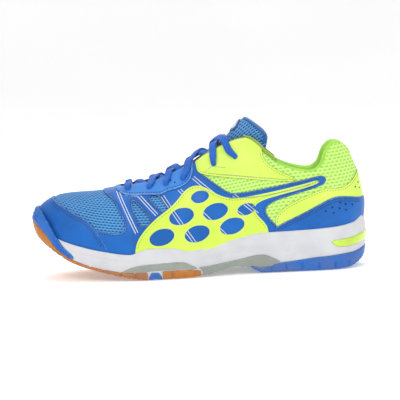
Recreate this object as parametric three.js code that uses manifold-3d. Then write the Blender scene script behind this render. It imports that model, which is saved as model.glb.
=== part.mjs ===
// A low-cut court shoe for racket sports: the left shoe of a pair, laced and standing on its sole.
// Millimetres. X runs from the toe (-) to the heel (+), -Y is the lateral (outer) side, +Z is up.
// The origin is under the middle of the shoe, on the plane that the sole stands on.
// A station is a place along the shoe as a percentage of its length: 0 is the toe tip, 100 the heel.

import * as THREE from "three";
import { mergeVertices } from "three/addons/utils/BufferGeometryUtils.js";
import Module from "manifold-3d";

const wasm = await Module();
wasm.setup();

// ---------------------------------------------------------------- driving dimensions

const shoeLength = 300;
const forefootWidth = 105;
const heelWidth = 76;
const toeTipShift = 6; // the toe tip lies this far towards the medial side
const fitGap = 0.3; // clearance between pieces that touch

// Upper: how far its wall stands in from the edge of the sole, and the thickness of each layer.
const upperSideInset = 4;
const upperToeInset = 4.6;
const upperHeelInset = 1.2;
const meshThickness = 1.2;
const overlayThickness = 1.1;
const panelThickness = 1.0; // side support panels, which lie on the overlays
const puffThickness = 0.9;
const counterThickness = 1.5;
const liningThickness = 0.9;
const collarFoamThickness = 6.5;
const lipGap = 1.5; // the overlays end this far above the lip of the midsole
const heelLean = 0.18; // forward lean of the heel wall, per mm of height
const heelLeanFrom = 58; // height of the furthest point of the heel

// Height of the collar at the heel, where its sides are lowest, and of the tongue's tip.
const heelCollarHeight = 113;
const sideCollarHeight = 89;
const tongueTipHeight = 140;

// Throat, holes and lace. The lace is modelled as a plain round cord with the room of the flat one.
const throatFront = 26.5; // station
const throatHalfGap = 15;
const laceHoleStations = [28.6, 35, 40.2, 45.4, 54.7, 61.2];
const spareHoleStation = 66;
const laceHoleInset = 9; // from the edge of the throat
const topHoleShift = 3.4; // how much nearer the edge the topmost hole is
const holeShiftFrom = 54.7; // station past which the holes draw nearer the edge
const panelSetBack = 4.5; // the side panels end this far outside the line of the holes
const liningSetBack = 13.5; // the front lining ends this far from the throat, past the holes
const tailSetBack = 7.5; // the tails run this far from the edge of the throat
const laceHoleRadius = 1.9;
const laceRadius = 1;
const laceTipRadius = 1.2;
const laceTipLength = 11;

// Tongue.
const tongueCentreDepth = 3.4; // its face lies this far under the outer surface, in the middle
const tongueFaceThickness = 1.0;
const tongueFoamThickness = 4.2;
const tongueTopFoamThickness = 9;
const tongueLiningThickness = 0.8;
const tongueBindingWidth = 2.4;
const tongueBaseHalfWidth = 30;
const tongueTopHalfWidth = 26;
const tongueWing = 13; // each wing reaches this far under the edge of the throat
const hingeStation = 27.6;
const labelThickness = 0.8;

// Sole.
const strobelThickness = 1.6;
const socklinerThickness = 4;
const wrapThickness = 3.4; // rubber and plastic pieces that wrap the edge of the midsole
const shankPlate = 2.6;
const forefootRubber = 5.2;
const heelRubber = 3.6;
const heelRubberFrom = 64.6; // station
const flexBarFrom = 34.5;
const flexBarTo = 38.8;
const flexBarHeight = 3.6;
const notchWidth = 2.2; // of the flex bar's notch at its foot, in stations
const notchHeight = 1.6;
const gelDepth = 13; // how deep the heel cushion reaches into the midsole
const forefootGelThickness = 4;
const forefootGelFrom = 31;
const forefootGelTo = 45.5;
const forefootGelWidth = 52;

// Mesh density.
const stationCount = 18;
const sectionSteps = 5;
const holeSides = 8;
const reach = 200; // half depth of the cutting prisms, past every side

// ---------------------------------------------------------------- curves along the shoe

const toeX = -shoeLength / 2;
const heelX = shoeLength / 2;
const xAt = (station) => toeX + (station / 100) * shoeLength;
const stationOf = (x) => ((x - toeX) / shoeLength) * 100;
const mix = (a, b, t) => a + (b - a) * t;
const clamp01 = (t) => Math.min(1, Math.max(0, t));
const smooth = (t) => clamp01(t) ** 2 * (3 - 2 * clamp01(t));

// A smooth curve through [at, value] rows that doesn't overshoot between them.
function curveThrough(rows, warp = (t) => t) {
  const at = rows.map((r) => warp(r[0]));
  const value = rows.map((r) => r[1]);
  const last = rows.length - 1;
  const slope = value.slice(1).map((v, i) => (v - value[i]) / (at[i + 1] - at[i]));
  const tangent = value.map((_, i) => {
    if (i === 0) return slope[0];
    if (i === last) return slope[last - 1];
    if (slope[i - 1] * slope[i] <= 0) return 0;
    return (2 * slope[i - 1] * slope[i]) / (slope[i - 1] + slope[i]);
  });
  return (t) => {
    const u = Math.min(at[last], Math.max(at[0], warp(t)));
    let i = 0;
    while (i < last - 1 && u > at[i + 1]) i += 1;
    const h = at[i + 1] - at[i];
    const k = (u - at[i]) / h;
    const bend = h * (tangent[i] * (1 - k) - tangent[i + 1] * k);
    const ease = k * k * (3 - 2 * k);
    return mix(value[i], value[i + 1], ease) + bend * k * (1 - k);
  };
}

// Widths and the toe dome are round at both ends, so they are smooth in this angle, not in the station.
const endAngle = (station) => Math.acos(1 - (2 * clamp01(station / 100)));

const lateralShare = curveThrough([
  [0, 0], [3, 0.224], [8, 0.343], [15, 0.43], [25, 0.495], [33, 0.524], [45, 0.495], [55, 0.458],
  [65, 0.497], [75, 0.5], [85, 0.5], [93, 0.434], [98, 0.263], [100, 0],
], endAngle);
const medialShare = curveThrough([
  [0, 0], [3, 0.224], [8, 0.343], [15, 0.43], [25, 0.476], [33, 0.476], [45, 0.381], [55, 0.328],
  [65, 0.385], [75, 0.434], [85, 0.46], [93, 0.408], [98, 0.25], [100, 0],
], endAngle);
const widthAt = (station) => mix(forefootWidth, heelWidth, smooth((station - 50) / 20));
const centreAt = (station) => toeTipShift * clamp01(1 - station / 25) ** 2;

const LATERAL = -1;
const MEDIAL = 1;
function halfWidth(side, station, inset) {
  const share = side === LATERAL ? lateralShare(station) : medialShare(station);
  return share * (widthAt(station) - 2 * inset);
}

// Heights above the ground, along the shoe.
const tread = curveThrough([
  [0, 53], [0.8, 42.4], [1.9, 37.7], [3.7, 32.9], [8.1, 23.3], [12.5, 15.9], [16.4, 11.7], [20.9, 7.9],
  [25.4, 4.4], [29.9, 1.6], [34.4, 0], [46, 0], [50, 1.4], [55.7, 4.3], [58.2, 6.7], [60.6, 7.3],
  [62.7, 6.7], [64.8, 4.9], [66.6, 2], [68.4, 0], [90.5, 0], [93.6, 0.9], [95.7, 2.7], [98.2, 7.4],
  [99.5, 12.2], [100, 18.5],
]);
const gumTop = curveThrough([
  [0, 54.5], [1.8, 48.7], [3.5, 44.3], [5.3, 38.2], [6.7, 31.6], [8.1, 27.4], [10.8, 21.4], [12.6, 18.8],
  [16.4, 14], [20.9, 10.6], [25.4, 7.9], [30, 6.6], [35, 7], [45, 7.4], [51, 6],
]);
const biteLine = curveThrough([
  [0, 57], [2, 50], [5, 42.5], [8.6, 36.4], [13.7, 31.2], [21.2, 25.8], [29.6, 22.3], [33.6, 26.3],
  [36.3, 27], [42.5, 26.2], [46.5, 23.4], [51.5, 24.9], [59.1, 30.2], [67.7, 35], [77.4, 35.6],
  [89.6, 37.2], [95.7, 40], [99, 45.9], [100, 46.4],
]);
const seat = curveThrough([
  [0, 54], [2, 48], [5, 38.5], [8.6, 30], [14, 23.5], [21, 18.5], [30, 16], [46, 16], [55, 19], [62, 22],
  [70, 25.5], [80, 28], [90, 30], [100, 33],
]);
const ridge = curveThrough([
  [0, 56], [1, 62], [2.2, 65.5], [4.3, 69.5], [7.3, 74], [11.3, 75.4], [19, 76.2], [26.6, 79.3],
  [30, 81.5], [35.8, 85], [42, 93.5], [47.3, 101.5], [51.3, 109], [56.7, 119], [60.7, 127.5],
  [64.7, 136], [70, 148], [75, 157], [83, 165], [100, 165],
], endAngle);
const fullness = curveThrough([
  [0, 2.4], [20, 2.4], [30, 2.3], [42, 2.05], [48, 2.05], [54, 2.25], [60, 2.3], [66, 2.3], [75, 2.1],
  [100, 2],
]);

// ---------------------------------------------------------------- solids

// A closed triangle list as a manifold solid: vertices that coincide are merged.
function solidOf(geometry) {
  const bare = geometry.clone();
  bare.deleteAttribute("normal");
  bare.deleteAttribute("uv");
  const merged = mergeVertices(bare, 1e-4);
  const source = merged.index.array;
  const kept = [];
  for (let i = 0; i < source.length; i += 3) {
    const [a, b, c] = [source[i], source[i + 1], source[i + 2]];
    if (a !== b && b !== c && c !== a) kept.push(a, b, c);
  }
  const solid = new wasm.Manifold(new wasm.Mesh({
    numProp: 3,
    vertProperties: new Float32Array(merged.attributes.position.array),
    triVerts: new Uint32Array(kept),
  }));
  return solid;
}

// Rings of points, one inside the other or one above the other, joined into a closed skin. Each ring
// runs along the lateral side from toe to heel and back along the medial side.
function ringSolid(rings) {
  const count = rings[0].length;
  const half = count / 2;
  const points = rings.flat();
  const faces = [];
  for (let r = 0; r + 1 < rings.length; r += 1) {
    for (let i = 0; i < count; i += 1) {
      const a = r * count + i;
      const b = r * count + ((i + 1) % count);
      faces.push(a, b, b + count, a, b + count, a + count);
    }
  }
  const top = (rings.length - 1) * count;
  for (let i = 0; i + 1 < half; i += 1) {
    const j = count - 1 - i;
    faces.push(i, j - 1, i + 1, i, j, j - 1);
    faces.push(top + i, top + i + 1, top + j - 1, top + i, top + j - 1, top + j);
  }
  const geometry = new THREE.BufferGeometry();
  const flat = points.flatMap((p) => [p.x, p.y, p.z]);
  geometry.setAttribute("position", new THREE.BufferAttribute(new Float32Array(flat), 3));
  geometry.setIndex(faces);
  return solidOf(geometry);
}

// Stations lie closer together towards the round ends.
function stationList(count) {
  const list = [];
  for (let i = 0; i <= count; i += 1) {
    const share = i / count;
    list.push(mix(share, (1 - Math.cos(Math.PI * share)) / 2, 0.8) * 100);
  }
  return list;
}

// The outline of the sole at one height curve, drawn in from its edge by an inset.
function soleRing(inset, heightOf) {
  const place = (side) => (s) => {
    const x = mix(toeX + inset, heelX - inset, s / 100);
    const y = centreAt(s) + side * halfWidth(side, s, inset);
    return new THREE.Vector3(x, y, heightOf(stationOf(x), s));
  };
  const stations = stationList(stationCount);
  return [...stations.map(place(LATERAL)), ...stations.toReversed().map(place(MEDIAL))];
}

// The sole's block from one height curve to another: its side wall swells a little half way up.
function soleBlock(inset, lowOf, highOf) {
  const at = (k) => (s) => mix(lowOf(s), Math.max(highOf(s), lowOf(s) + 0.5), k);
  return ringSolid([
    soleRing(inset + 2.2, at(0)), soleRing(inset + 0.5, at(0.25)), soleRing(inset, at(0.6)),
    soleRing(inset + 1.2, at(1)),
  ]);
}

const leanAt = (z) => (z > heelLeanFrom ? heelLean : -0.12) * (z - heelLeanFrom);
const leanShare = (station) => smooth((station - 63) / 37);

// A point of the upper's outer surface, at a station, turned up by an angle from the seat to the ridge,
// and moved out by an offset, which may be a function of the station and the height share.
function upperPoint(side, s, angle, offset) {
  const n = 2 / fullness(s);
  const rise = Math.sin(angle) ** n;
  const out = typeof offset === "function" ? offset(s, rise) : offset;
  const x = mix(toeX + upperToeInset - out, heelX - upperHeelInset + out, s / 100);
  const low = seat(stationOf(x));
  const high = Math.max(ridge(s) + out, low + 0.5);
  const z = mix(low, high, rise);
  const y = Math.cos(angle) ** n * halfWidth(side, s, upperSideInset - out);
  return new THREE.Vector3(x - leanShare(s) * leanAt(z), centreAt(s) + side * y, z);
}

// The upper's closed shape at one offset. Its flat bottom is the seat, or is raised or lowered from it
// without moving the wall above.
function upperShape(offset, baseRise = 0) {
  const stations = stationList(stationCount);
  const ringAt = (angle) => [
    ...stations.map((s) => upperPoint(LATERAL, s, angle, offset)),
    ...stations.toReversed().map((s) => upperPoint(MEDIAL, s, angle, offset)),
  ];
  const rings = [];
  for (let k = 0; k <= sectionSteps; k += 1) {
    rings.push(ringAt((Math.min(k / sectionSteps, 0.9999) * Math.PI) / 2));
  }
  if (baseRise < 0) rings.unshift(rings[0].map((p) => new THREE.Vector3(p.x, p.y, p.z + baseRise)));
  if (baseRise > 0) {
    rings[0] = rings[0].map((p, i) => {
      const above = rings[1][i];
      return p.clone().lerp(above, Math.min(0.9, baseRise / Math.max(0.1, above.z - p.z)));
    });
  }
  return ringSolid(rings);
}

// One layer of the upper, open at the seat.
const throughSeat = -12;
function layer(inner, outer, seatLift = fitGap) {
  return upperShape(outer, seatLift).subtract(upperShape(inner, throughSeat));
}

// Half width of the upper's outer surface where it passes a place in the side view.
function surfaceY(side, x, z, out) {
  const straightX = x + leanShare(stationOf(x)) * leanAt(z);
  const first = toeX + upperToeInset - out;
  const s = clamp01((straightX - first) / (heelX - upperHeelInset + out - first)) * 100;
  const low = seat(stationOf(straightX));
  const rise = clamp01((z - low) / (ridge(s) + out - low));
  const n = fullness(s);
  return centreAt(s) + side * (1 - rise ** n) ** (1 / n) * halfWidth(side, s, upperSideInset - out);
}

// Prisms that cut: a side view outline of [station, height] rows, or a plan outline of [station, y] rows.
function shapeOf(rows) {
  return new THREE.Shape(rows.map(([s, v]) => new THREE.Vector2(xAt(s), v)));
}
function sidePrism(rows, fromY = -reach, toY = reach) {
  const geometry = new THREE.ExtrudeGeometry(shapeOf(rows), { depth: toY - fromY, bevelEnabled: false });
  geometry.rotateX(Math.PI / 2);
  geometry.translate(0, toY, 0);
  return solidOf(geometry);
}
function planPrism(rows, fromZ, toZ) {
  const geometry = new THREE.ExtrudeGeometry(shapeOf(rows), { depth: toZ - fromZ, bevelEnabled: false });
  geometry.translate(0, 0, fromZ);
  return solidOf(geometry);
}
// The space between two height curves, from one station to another, bent where the sole's block bends.
function band(from, to, lowOf, highOf, extraStations = []) {
  const inside = [...stationList(stationCount), ...extraStations]
    .filter((s) => s > from + 0.3 && s < to - 0.3);
  const stations = [from, ...inside.toSorted((a, b) => a - b), to];
  const low = stations.map((s) => [s, lowOf(s)]);
  const high = stations.toReversed().map((s) => [s, highOf(s)]);
  return sidePrism([...low, ...high]);
}
const level = (z) => () => z;
const raised = (heightOf, by) => (s) => heightOf(s) + by;
const sideHalf = (side) => (side === LATERAL ? [-reach, -fitGap / 2] : [fitGap / 2, reach]);

// An outline grown or shrunk on all sides, for the gap around a piece let into another one.
function grown(rows, by) {
  const points = rows.map(([s, v]) => new THREE.Vector2(xAt(s), v));
  const area = THREE.ShapeUtils.area(points);
  return points.map((p, i) => {
    const before = points[(i + points.length - 1) % points.length];
    const after = points[(i + 1) % points.length];
    const a = p.clone().sub(before).normalize();
    const b = after.clone().sub(p).normalize();
    const out = new THREE.Vector2(a.y + b.y, -a.x - b.x).normalize();
    const corner = Math.max(0.5, out.dot(new THREE.Vector2(a.y, -a.x)));
    p.addScaledVector(out, (Math.sign(area) * by) / corner);
    return [stationOf(p.x), p.y];
  });
}

// ---------------------------------------------------------------- the object

// The lateral side reaches further out than the medial one, so the shoe is moved to stand over the origin.
const widest = (side) => Math.max(...stationList(60).map((s) => halfWidth(side, s, 0)));
const group = new THREE.Group();
group.name = "court_shoe";
const shoe = new THREE.Group();
shoe.position.y = (widest(LATERAL) - widest(MEDIAL)) / 2;
group.add(shoe);

function addPiece(name, solid, colour, roughness, metalness = 0) {
  const mesh = solid.getMesh();
  const geometry = new THREE.BufferGeometry();
  geometry.setAttribute("position", new THREE.BufferAttribute(new Float32Array(mesh.vertProperties), 3));
  geometry.setIndex(new THREE.BufferAttribute(new Uint32Array(mesh.triVerts), 1));
  geometry.computeVertexNormals();
  const material = new THREE.MeshStandardMaterial({ color: colour, roughness, metalness });
  const piece = new THREE.Mesh(geometry, material);
  piece.name = name;
  shoe.add(piece);
}

const BLUE = 0x2a6fcf;
const LIGHT_BLUE = 0x6c9be0;
const MESH_BLUE = 0x4a90d0;
const YELLOW = 0xddf85a;
const YELLOW_MESH = 0xd4fa7a;
const LINING_GREEN = 0xb4e650;
const FOAM_WHITE = 0xe2e2e4;
const GREY = 0x979e98;
const GUM = 0xbe7a3a;
const GEL = 0xcfee45;
const DARK = 0x303438;

// ---- side view outlines, as [station, height]

const guardOutline = [
  [-2, 53.6], [0, 53.6], [1.8, 49], [3.5, 44.6], [5.3, 38.5], [6.7, 32], [8.1, 27.8], [10.6, 22], [12.9, 19.2],
  [12.4, 22.7], [10.6, 27.5], [8.8, 33.2], [6.6, 43], [5.2, 51.5], [3.8, 58], [2.2, 64.5], [-2, 64.5],
];
const rimOutline = [
  [26.4, 6.9], [27.9, 9], [30.1, 11.7], [32.2, 13.7], [36, 14.2], [43.1, 15], [45.2, 14.6], [46.7, 11.8],
  [48.9, 8.4], [47.6, 5.6], [45.8, 7.6], [41.2, 8.2], [35, 7.5], [31, 6.9],
];
const shankUnder = curveThrough([
  [51, 2.5], [53.3, 3.1], [55.7, 5], [58.2, 7.4], [60.6, 8], [63, 7.9], [64.8, 7], [66.3, 5.4], [67.8, 4.6],
  [69.7, 5.3], [71.5, 7], [73.7, 9],
]);
const shankUnderRows = [73.7, 71.5, 69.7, 67.8, 66.3, 64.8, 62, 58.2, 55.7, 53.3, 51.1]
  .map((s) => [s, shankUnder(s)]);
const shankOutline = [
  [49.2, 8.6], [51.2, 9], [55.8, 10.6], [60.4, 12.8], [65, 15.4], [68.6, 16.3], [70.4, 14.4], [72.5, 11],
  ...shankUnderRows, [51, 7],
];
const heelRubberSide = curveThrough([
  [73.7, 8.7], [77, 9.2], [83.1, 11.6], [89.2, 12.6], [93.8, 13.9], [96.8, 15], [100, 19],
]);
const heelRubberTop = (s) => (s < 73.7 ? shankUnder(s) - fitGap : heelRubberSide(s));
const gelOutline = [
  [88.8, 25], [90.3, 26.1], [94, 26.8], [96.4, 28.2], [98.6, 30.5], [102, 33], [102, 25.4], [99, 23.6],
  [97, 21.4], [93.9, 20], [91.2, 19.8], [89.5, 22.6],
];
const vampRear = [
  [27.2, 120], [27.2, 80], [28.8, 62], [28.6, 47], [27.2, 41.5], [23, 41.5], [22, 36], [23.4, 25], [24, 2],
];
const capEdge = [
  [6.3, 95], [6.4, 74], [6.7, 71], [8.1, 68], [12.6, 60], [16.4, 54.9], [18.2, 50.2], [19.6, 45.4], [21, 38.9],
  [22.5, 31.4], [23.5, 26], [23.9, 2],
];
const eyestayOutline = [
  [25.4, 130], [25.4, 79], [27, 73], [30.3, 72], [34, 72.6], [39.4, 71.8], [41.3, 75.5], [44.7, 77.5],
  [47.8, 82], [49.6, 91.4], [49.6, 140],
];
const flapOutline = [
  [50, 140], [50, 91.7], [52.4, 87], [55.3, 80.3], [58.3, 74], [61, 71.8], [68.9, 73], [75, 76], [81, 79.2],
  [90.4, 84.6], [90.4, 140],
];
const heelOverlayOutline = [
  [71.5, 30], [71.8, 38.4], [74.5, 42.7], [77.6, 46.6], [80.7, 50.7], [83.8, 55.3], [86.3, 58.8], [88.4, 62],
  [90, 63.8], [91.8, 64.3], [94.5, 63.4], [97.5, 61.4], [102, 60.6], [102, 30],
];
const backstayOutline = [
  [90.9, 130], [90.9, 84], [89.6, 71.6], [89.2, 66.8], [90.4, 66.2], [94.5, 65.4], [97.5, 63.3], [102, 62.4],
  [102, 130],
];
const panelOutline = [
  [37.2, 25], [40.5, 44], [43.3, 62], [46.2, 69.4], [50.4, 77], [54, 72], [58, 65.2], [64, 62.4], [69.4, 56],
  [72, 47.2], [70.6, 42], [66.6, 37.8], [62.6, 25],
];
const windowOutlines = [
  [[41.2, 32.5], [45.3, 33.5], [48.2, 38], [48, 44], [44.9, 46], [42.6, 40]],
  [[50.5, 36.5], [56, 38], [58.4, 42.6], [57.6, 49], [53.2, 50.5], [50, 44.5]],
  [[46.6, 50.5], [49.8, 53], [50.6, 60], [48.4, 64.5], [45.6, 58.5]],
  [[60.6, 42], [64.2, 42.5], [66.6, 47], [64.8, 52.4], [60.8, 53.6], [60, 48]],
];

const collarLine = curveThrough([
  [62.5, sideCollarHeight + 32.6], [64.2, sideCollarHeight + 32], [66.5, sideCollarHeight + 29.5],
  [68.6, sideCollarHeight + 24.5], [70.9, sideCollarHeight + 16.8], [73.8, sideCollarHeight + 9.3],
  [76.5, sideCollarHeight + 5], [80, sideCollarHeight + 1.6], [83.1, sideCollarHeight],
  [85, sideCollarHeight + 1.2], [86.8, sideCollarHeight + 5.6],
  [87.8, mix(sideCollarHeight, heelCollarHeight, 0.62)],
  [89, heelCollarHeight - 4.4], [91, heelCollarHeight], [93.2, heelCollarHeight], [95, heelCollarHeight - 4],
  [96.2, heelCollarHeight - 9.5], [97.2, heelCollarHeight - 17], [100, heelCollarHeight - 30],
]);
const collarStations = [
  64.2, 66.5, 68.6, 70.9, 73.8, 76.5, 83.1, 85, 86.8, 87.8, 89, 91, 93.2, 95, 96.2, 97.2,
];
const throatGap = curveThrough([
  [throatFront, 0], [throatFront + 0.5, 6], [throatFront + 2, 11.5], [throatFront + 6, throatHalfGap - 1],
  [46, throatHalfGap], [54, throatHalfGap - 0.5], [58, throatHalfGap + 1], [62.7, throatHalfGap + 3],
  [66.5, throatHalfGap + 5], [76, throatHalfGap + 5],
]);

// ---- cutting volumes shared by many pieces

// The throat is drawn for an even section: each side takes its own share of it.
const sideShare = (side, s) => {
  const own = halfWidth(side, s, upperSideInset);
  return (2 * own) / (halfWidth(LATERAL, s, upperSideInset) + halfWidth(MEDIAL, s, upperSideInset));
};
function throatCut(extra) {
  const stations = [throatFront, 26.9, 27.6, 29, 32, 40, 50, 58, 62.7, 66.5, 76];
  const start = [[throatFront - (extra / shoeLength) * 100, 0]];
  const edge = (side) => (s) => [s, side * (throatGap(s) + extra) * sideShare(side, s)];
  const near = stations.slice(1).map(edge(LATERAL));
  const far = stations.slice(1).toReversed().map(edge(MEDIAL));
  return planPrism([...start, ...near, ...far], 60, 200);
}
// Everything under the collar's line, less an edge allowance.
function belowCollar(less) {
  return band(62.5, 104, level(-20), raised(collarLine, -less), collarStations).add(sidePrism([
    [-5, -20], [62.6, -20], [62.6, 200], [-5, 200],
  ]));
}
const outside = (solid) => solid.subtract(throatCut(0)).intersect(belowCollar(0));
const aboveBite = band(-4, 104, raised(biteLine, lipGap), level(220));

// ---- sole

const soleLow = tread;
const soleHigh = biteLine;
const flexBarRows = [
  [flexBarFrom, -5], [flexBarTo, -5], [flexBarTo, flexBarHeight], [flexBarFrom, flexBarHeight],
];
const gumTo = 50.6; // station
const gumStations = [3.5, 6.7, 8.1, 12.6];
const heelStations = [66.3, 67.8, 71.5, 73.7];
const fullSole = soleBlock(0, soleLow, soleHigh);
const soleCore = soleBlock(wrapThickness, soleLow, soleHigh);
const soleCoreLoose = soleBlock(wrapThickness + 2 * fitGap, soleLow, soleHigh);
const upperSocket = upperShape(fitGap, -fitGap);

function forefootOutsole() {
  const block = fullSole.intersect(band(-4, gumTo, level(-10), gumTop, gumStations));
  const core = soleCore.intersect(band(-4, gumTo + 1, raised(tread, forefootRubber), level(90)));
  const rimSlot = sidePrism(grown(rimOutline, fitGap), -reach, 0)
    .add(sidePrism(grown(guardOutline, fitGap))).subtract(soleCoreLoose);
  const barSlot = sidePrism(grown(flexBarRows, fitGap));
  return block.subtract(core).subtract(barSlot).subtract(rimSlot).subtract(upperSocket);
}
function flexBar() {
  const middle = (flexBarFrom + flexBarTo) / 2;
  const [foot, top] = [notchWidth / 2, notchWidth * 0.27];
  const notch = sidePrism([
    [middle - foot, -2], [middle + foot, -2], [middle + top, notchHeight], [middle - top, notchHeight],
  ]);
  return fullSole.intersect(sidePrism(flexBarRows)).subtract(notch);
}
function heelOutsole() {
  const wall = fullSole.intersect(band(heelRubberFrom, 104, level(-10), heelRubberTop, heelStations));
  const core = soleCore.intersect(band(60, 104, raised(tread, heelRubber), level(60)));
  return wall.subtract(core).subtract(sidePrism(grown(shankOutline, fitGap)));
}
function shankHollow(by) {
  const under = shankUnderRows.map(([s, z]) => [s, z + shankPlate + by]);
  return sidePrism([[78, 40], [78, under[0][1]], ...under, [50.9, -20], [48, -20], [48, 40]]);
}
function shank() {
  return fullSole.intersect(sidePrism(shankOutline)).subtract(soleCore.intersect(shankHollow(0)));
}
const sideRim = () => fullSole.intersect(sidePrism(rimOutline, -reach, 0)).subtract(soleCore);
const guardReach = () => upperShape(wrapThickness + fitGap).add(fullSole);
const toeGuard = () => guardReach()
  .intersect(sidePrism(guardOutline)).subtract(soleCore).subtract(upperSocket.add(upperShape(0.9)));
function heelGel() {
  const block = fullSole.intersect(sidePrism(gelOutline, -reach, 14));
  return block.subtract(soleBlock(gelDepth, soleLow, soleHigh));
}
function forefootGelBlock(grow) {
  const low = seat(38) - fitGap - forefootGelThickness;
  const [from, to, half] = [xAt(forefootGelFrom), xAt(forefootGelTo), forefootGelWidth / 2];
  const corner = 9;
  const shape = new THREE.Shape();
  shape.absarc(to - corner, half - corner, corner + grow, 0, Math.PI / 2);
  shape.absarc(from + corner, half - corner, corner + grow, Math.PI / 2, Math.PI);
  shape.absarc(from + corner, corner - half, corner + grow, Math.PI, Math.PI * 1.5);
  shape.absarc(to - corner, corner - half, corner + grow, Math.PI * 1.5, Math.PI * 2);
  const depth = forefootGelThickness + (grow ? 12 : 0);
  const geometry = new THREE.ExtrudeGeometry(shape, { depth, bevelEnabled: false, curveSegments: 5 });
  geometry.translate(0, 0, low - grow);
  return solidOf(geometry);
}
function midsole() {
  const gap = fitGap;
  const overGum = band(-4, gumTo + 0.1, level(-20), raised(gumTop, gap), gumStations).subtract(soleCoreLoose);
  const underForefoot = band(-4, gumTo + 0.1, level(-20), raised(tread, forefootRubber + gap));
  const wraps = sidePrism(grown(guardOutline, gap))
    .add(sidePrism(grown(rimOutline, gap), -reach, gap))
    .add(sidePrism(grown(shankOutline, gap)))
    .add(band(heelRubberFrom - 0.1, 104, level(-20), raised(heelRubberTop, gap), heelStations));
  const skin = wraps.subtract(soleCoreLoose);
  const underHeel = band(heelRubberFrom - 0.1, 104, level(-20), raised(tread, heelRubber + gap));
  const underShank = sidePrism([[50.8, -20], [73.8, -20], [73.8, 60], [50.8, 60]])
    .subtract(shankHollow(gap));
  const gelPocket = sidePrism(grown(gelOutline, gap), -reach, 14 + gap)
    .subtract(soleBlock(gelDepth + gap, soleLow, soleHigh));
  return fullSole
    .subtract(overGum).subtract(underForefoot).subtract(skin)
    .subtract(underHeel).subtract(underShank).subtract(gelPocket)
    .subtract(forefootGelBlock(gap)).subtract(upperSocket)
    .subtract(guardReach().intersect(sidePrism(grown(guardOutline, gap))).subtract(soleCoreLoose));
}

addPiece("outsole_forefoot", forefootOutsole(), GUM, 0.75);
addPiece("outsole_flex_bar", flexBar(), BLUE, 0.6);
addPiece("outsole_heel", heelOutsole(), BLUE, 0.6);
addPiece("midfoot_shank", shank(), GREY, 0.4);
addPiece("forefoot_side_rim", sideRim(), GREY, 0.5);
addPiece("toe_guard", toeGuard(), BLUE, 0.55);
addPiece("heel_gel_cushion", heelGel(), GEL, 0.25);
addPiece("forefoot_gel_cushion", forefootGelBlock(0), GEL, 0.25);
addPiece("midsole", midsole(), FOAM_WHITE, 0.7);

// ---- upper

// Depths of the layers, measured inwards from the outer surface of the mesh.
const underMesh = meshThickness + fitGap;
const puffDepth = underMesh + puffThickness + fitGap;
const counterDepth = underMesh + counterThickness + fitGap;
const seatStack = strobelThickness + 5 * fitGap;
const clearOfUpper = 3; // how far a cutter reaches past the upper
const overBoard = upperShape(clearOfUpper, strobelThickness + 2 * fitGap);

const heightAt = (s, rise) => mix(seat(s), ridge(s), rise);
const frontLiningOffset = (s) => -mix(puffDepth, underMesh, smooth((s - 16) / 4));
const foamShare = (s, rise) => smooth((heightAt(s, rise) - 54) / 20) * smooth((s - 70) / 9);
const foamInner = (s, rise) => -(counterDepth + collarFoamThickness * foamShare(s, rise));
const rearLiningOffset = (s, rise) => foamInner(s, rise) - fitGap;
const deeper = (offset, by) => (s, rise) => offset(s, rise) - by;

const inFrontOf = (rows) =>
  sidePrism([[-6, -30], [rows.at(-1)[0], -30], ...rows.toReversed(), [-6, rows[0][1]]]);
const behind = (rows) => sidePrism([[106, rows[0][1]], ...rows, [rows.at(-1)[0], -30], [106, -30]]);
const shifted = (rows, by) => rows.map(([s, v]) => [s + (by / shoeLength) * 100, v]);

const meshLayer = outside(layer(-meshThickness, 0));
const overlayLayer = outside(layer(fitGap, fitGap + overlayThickness)).intersect(aboveBite);
const panelOut = fitGap + overlayThickness + fitGap;
const panelLayer = outside(layer(panelOut, panelOut + panelThickness)).intersect(aboveBite);
const behindVamp = behind(shifted(vampRear, fitGap));
const guardRoom = sidePrism(grown(guardOutline, fitGap));

// A point on the upper near its top, over a place in the plan, lifted along the surface's normal.
function upperAt(side, station, across, lift) {
  const out = across * sideShare(side, station);
  const drop = (s, q) => {
    const n = fullness(s);
    const share = clamp01(q / halfWidth(side, s, upperSideInset));
    return mix(seat(s), ridge(s), (1 - share ** n) ** (1 / n));
  };
  const step = 0.5;
  const z = drop(station, out);
  const alongX = (drop(station + step, out) - drop(station - step, out)) / ((2 * step * shoeLength) / 100);
  const nearer = Math.min(step, out);
  const acrossY = (drop(station, out + step) - drop(station, out - nearer)) / (step + nearer);
  const normal = new THREE.Vector3(-alongX, -side * acrossY, 1).normalize();
  const x = mix(toeX + upperToeInset, heelX - upperHeelInset, station / 100);
  const place = new THREE.Vector3(x, centreAt(station) + side * out, z);
  return { place: place.addScaledVector(normal, lift), normal };
}

const holeShare = (s) => smooth((s - holeShiftFrom) / (spareHoleStation - holeShiftFrom));
const holeInset = (s) => laceHoleInset - topHoleShift * holeShare(s);

function laceHole(side, station) {
  const { place, normal } = upperAt(side, station, throatGap(station) + holeInset(station), 0);
  const cutter = new THREE.CylinderGeometry(laceHoleRadius, laceHoleRadius, 13, holeSides);
  cutter.applyQuaternion(new THREE.Quaternion().setFromUnitVectors(new THREE.Vector3(0, 1, 0), normal));
  cutter.translate(place.x, place.y, place.z);
  return solidOf(cutter);
}
const allHoles = [LATERAL, MEDIAL]
  .flatMap((side) => [...laceHoleStations, spareHoleStation].map((s) => laceHole(side, s)))
  .reduce((a, b) => a.add(b));

const halfSpace = (side) => sidePrism([[-8, -40], [108, -40], [108, 240], [-8, 240]], ...sideHalf(side));
const sideName = (side) => (side === LATERAL ? "lateral" : "medial");

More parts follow.
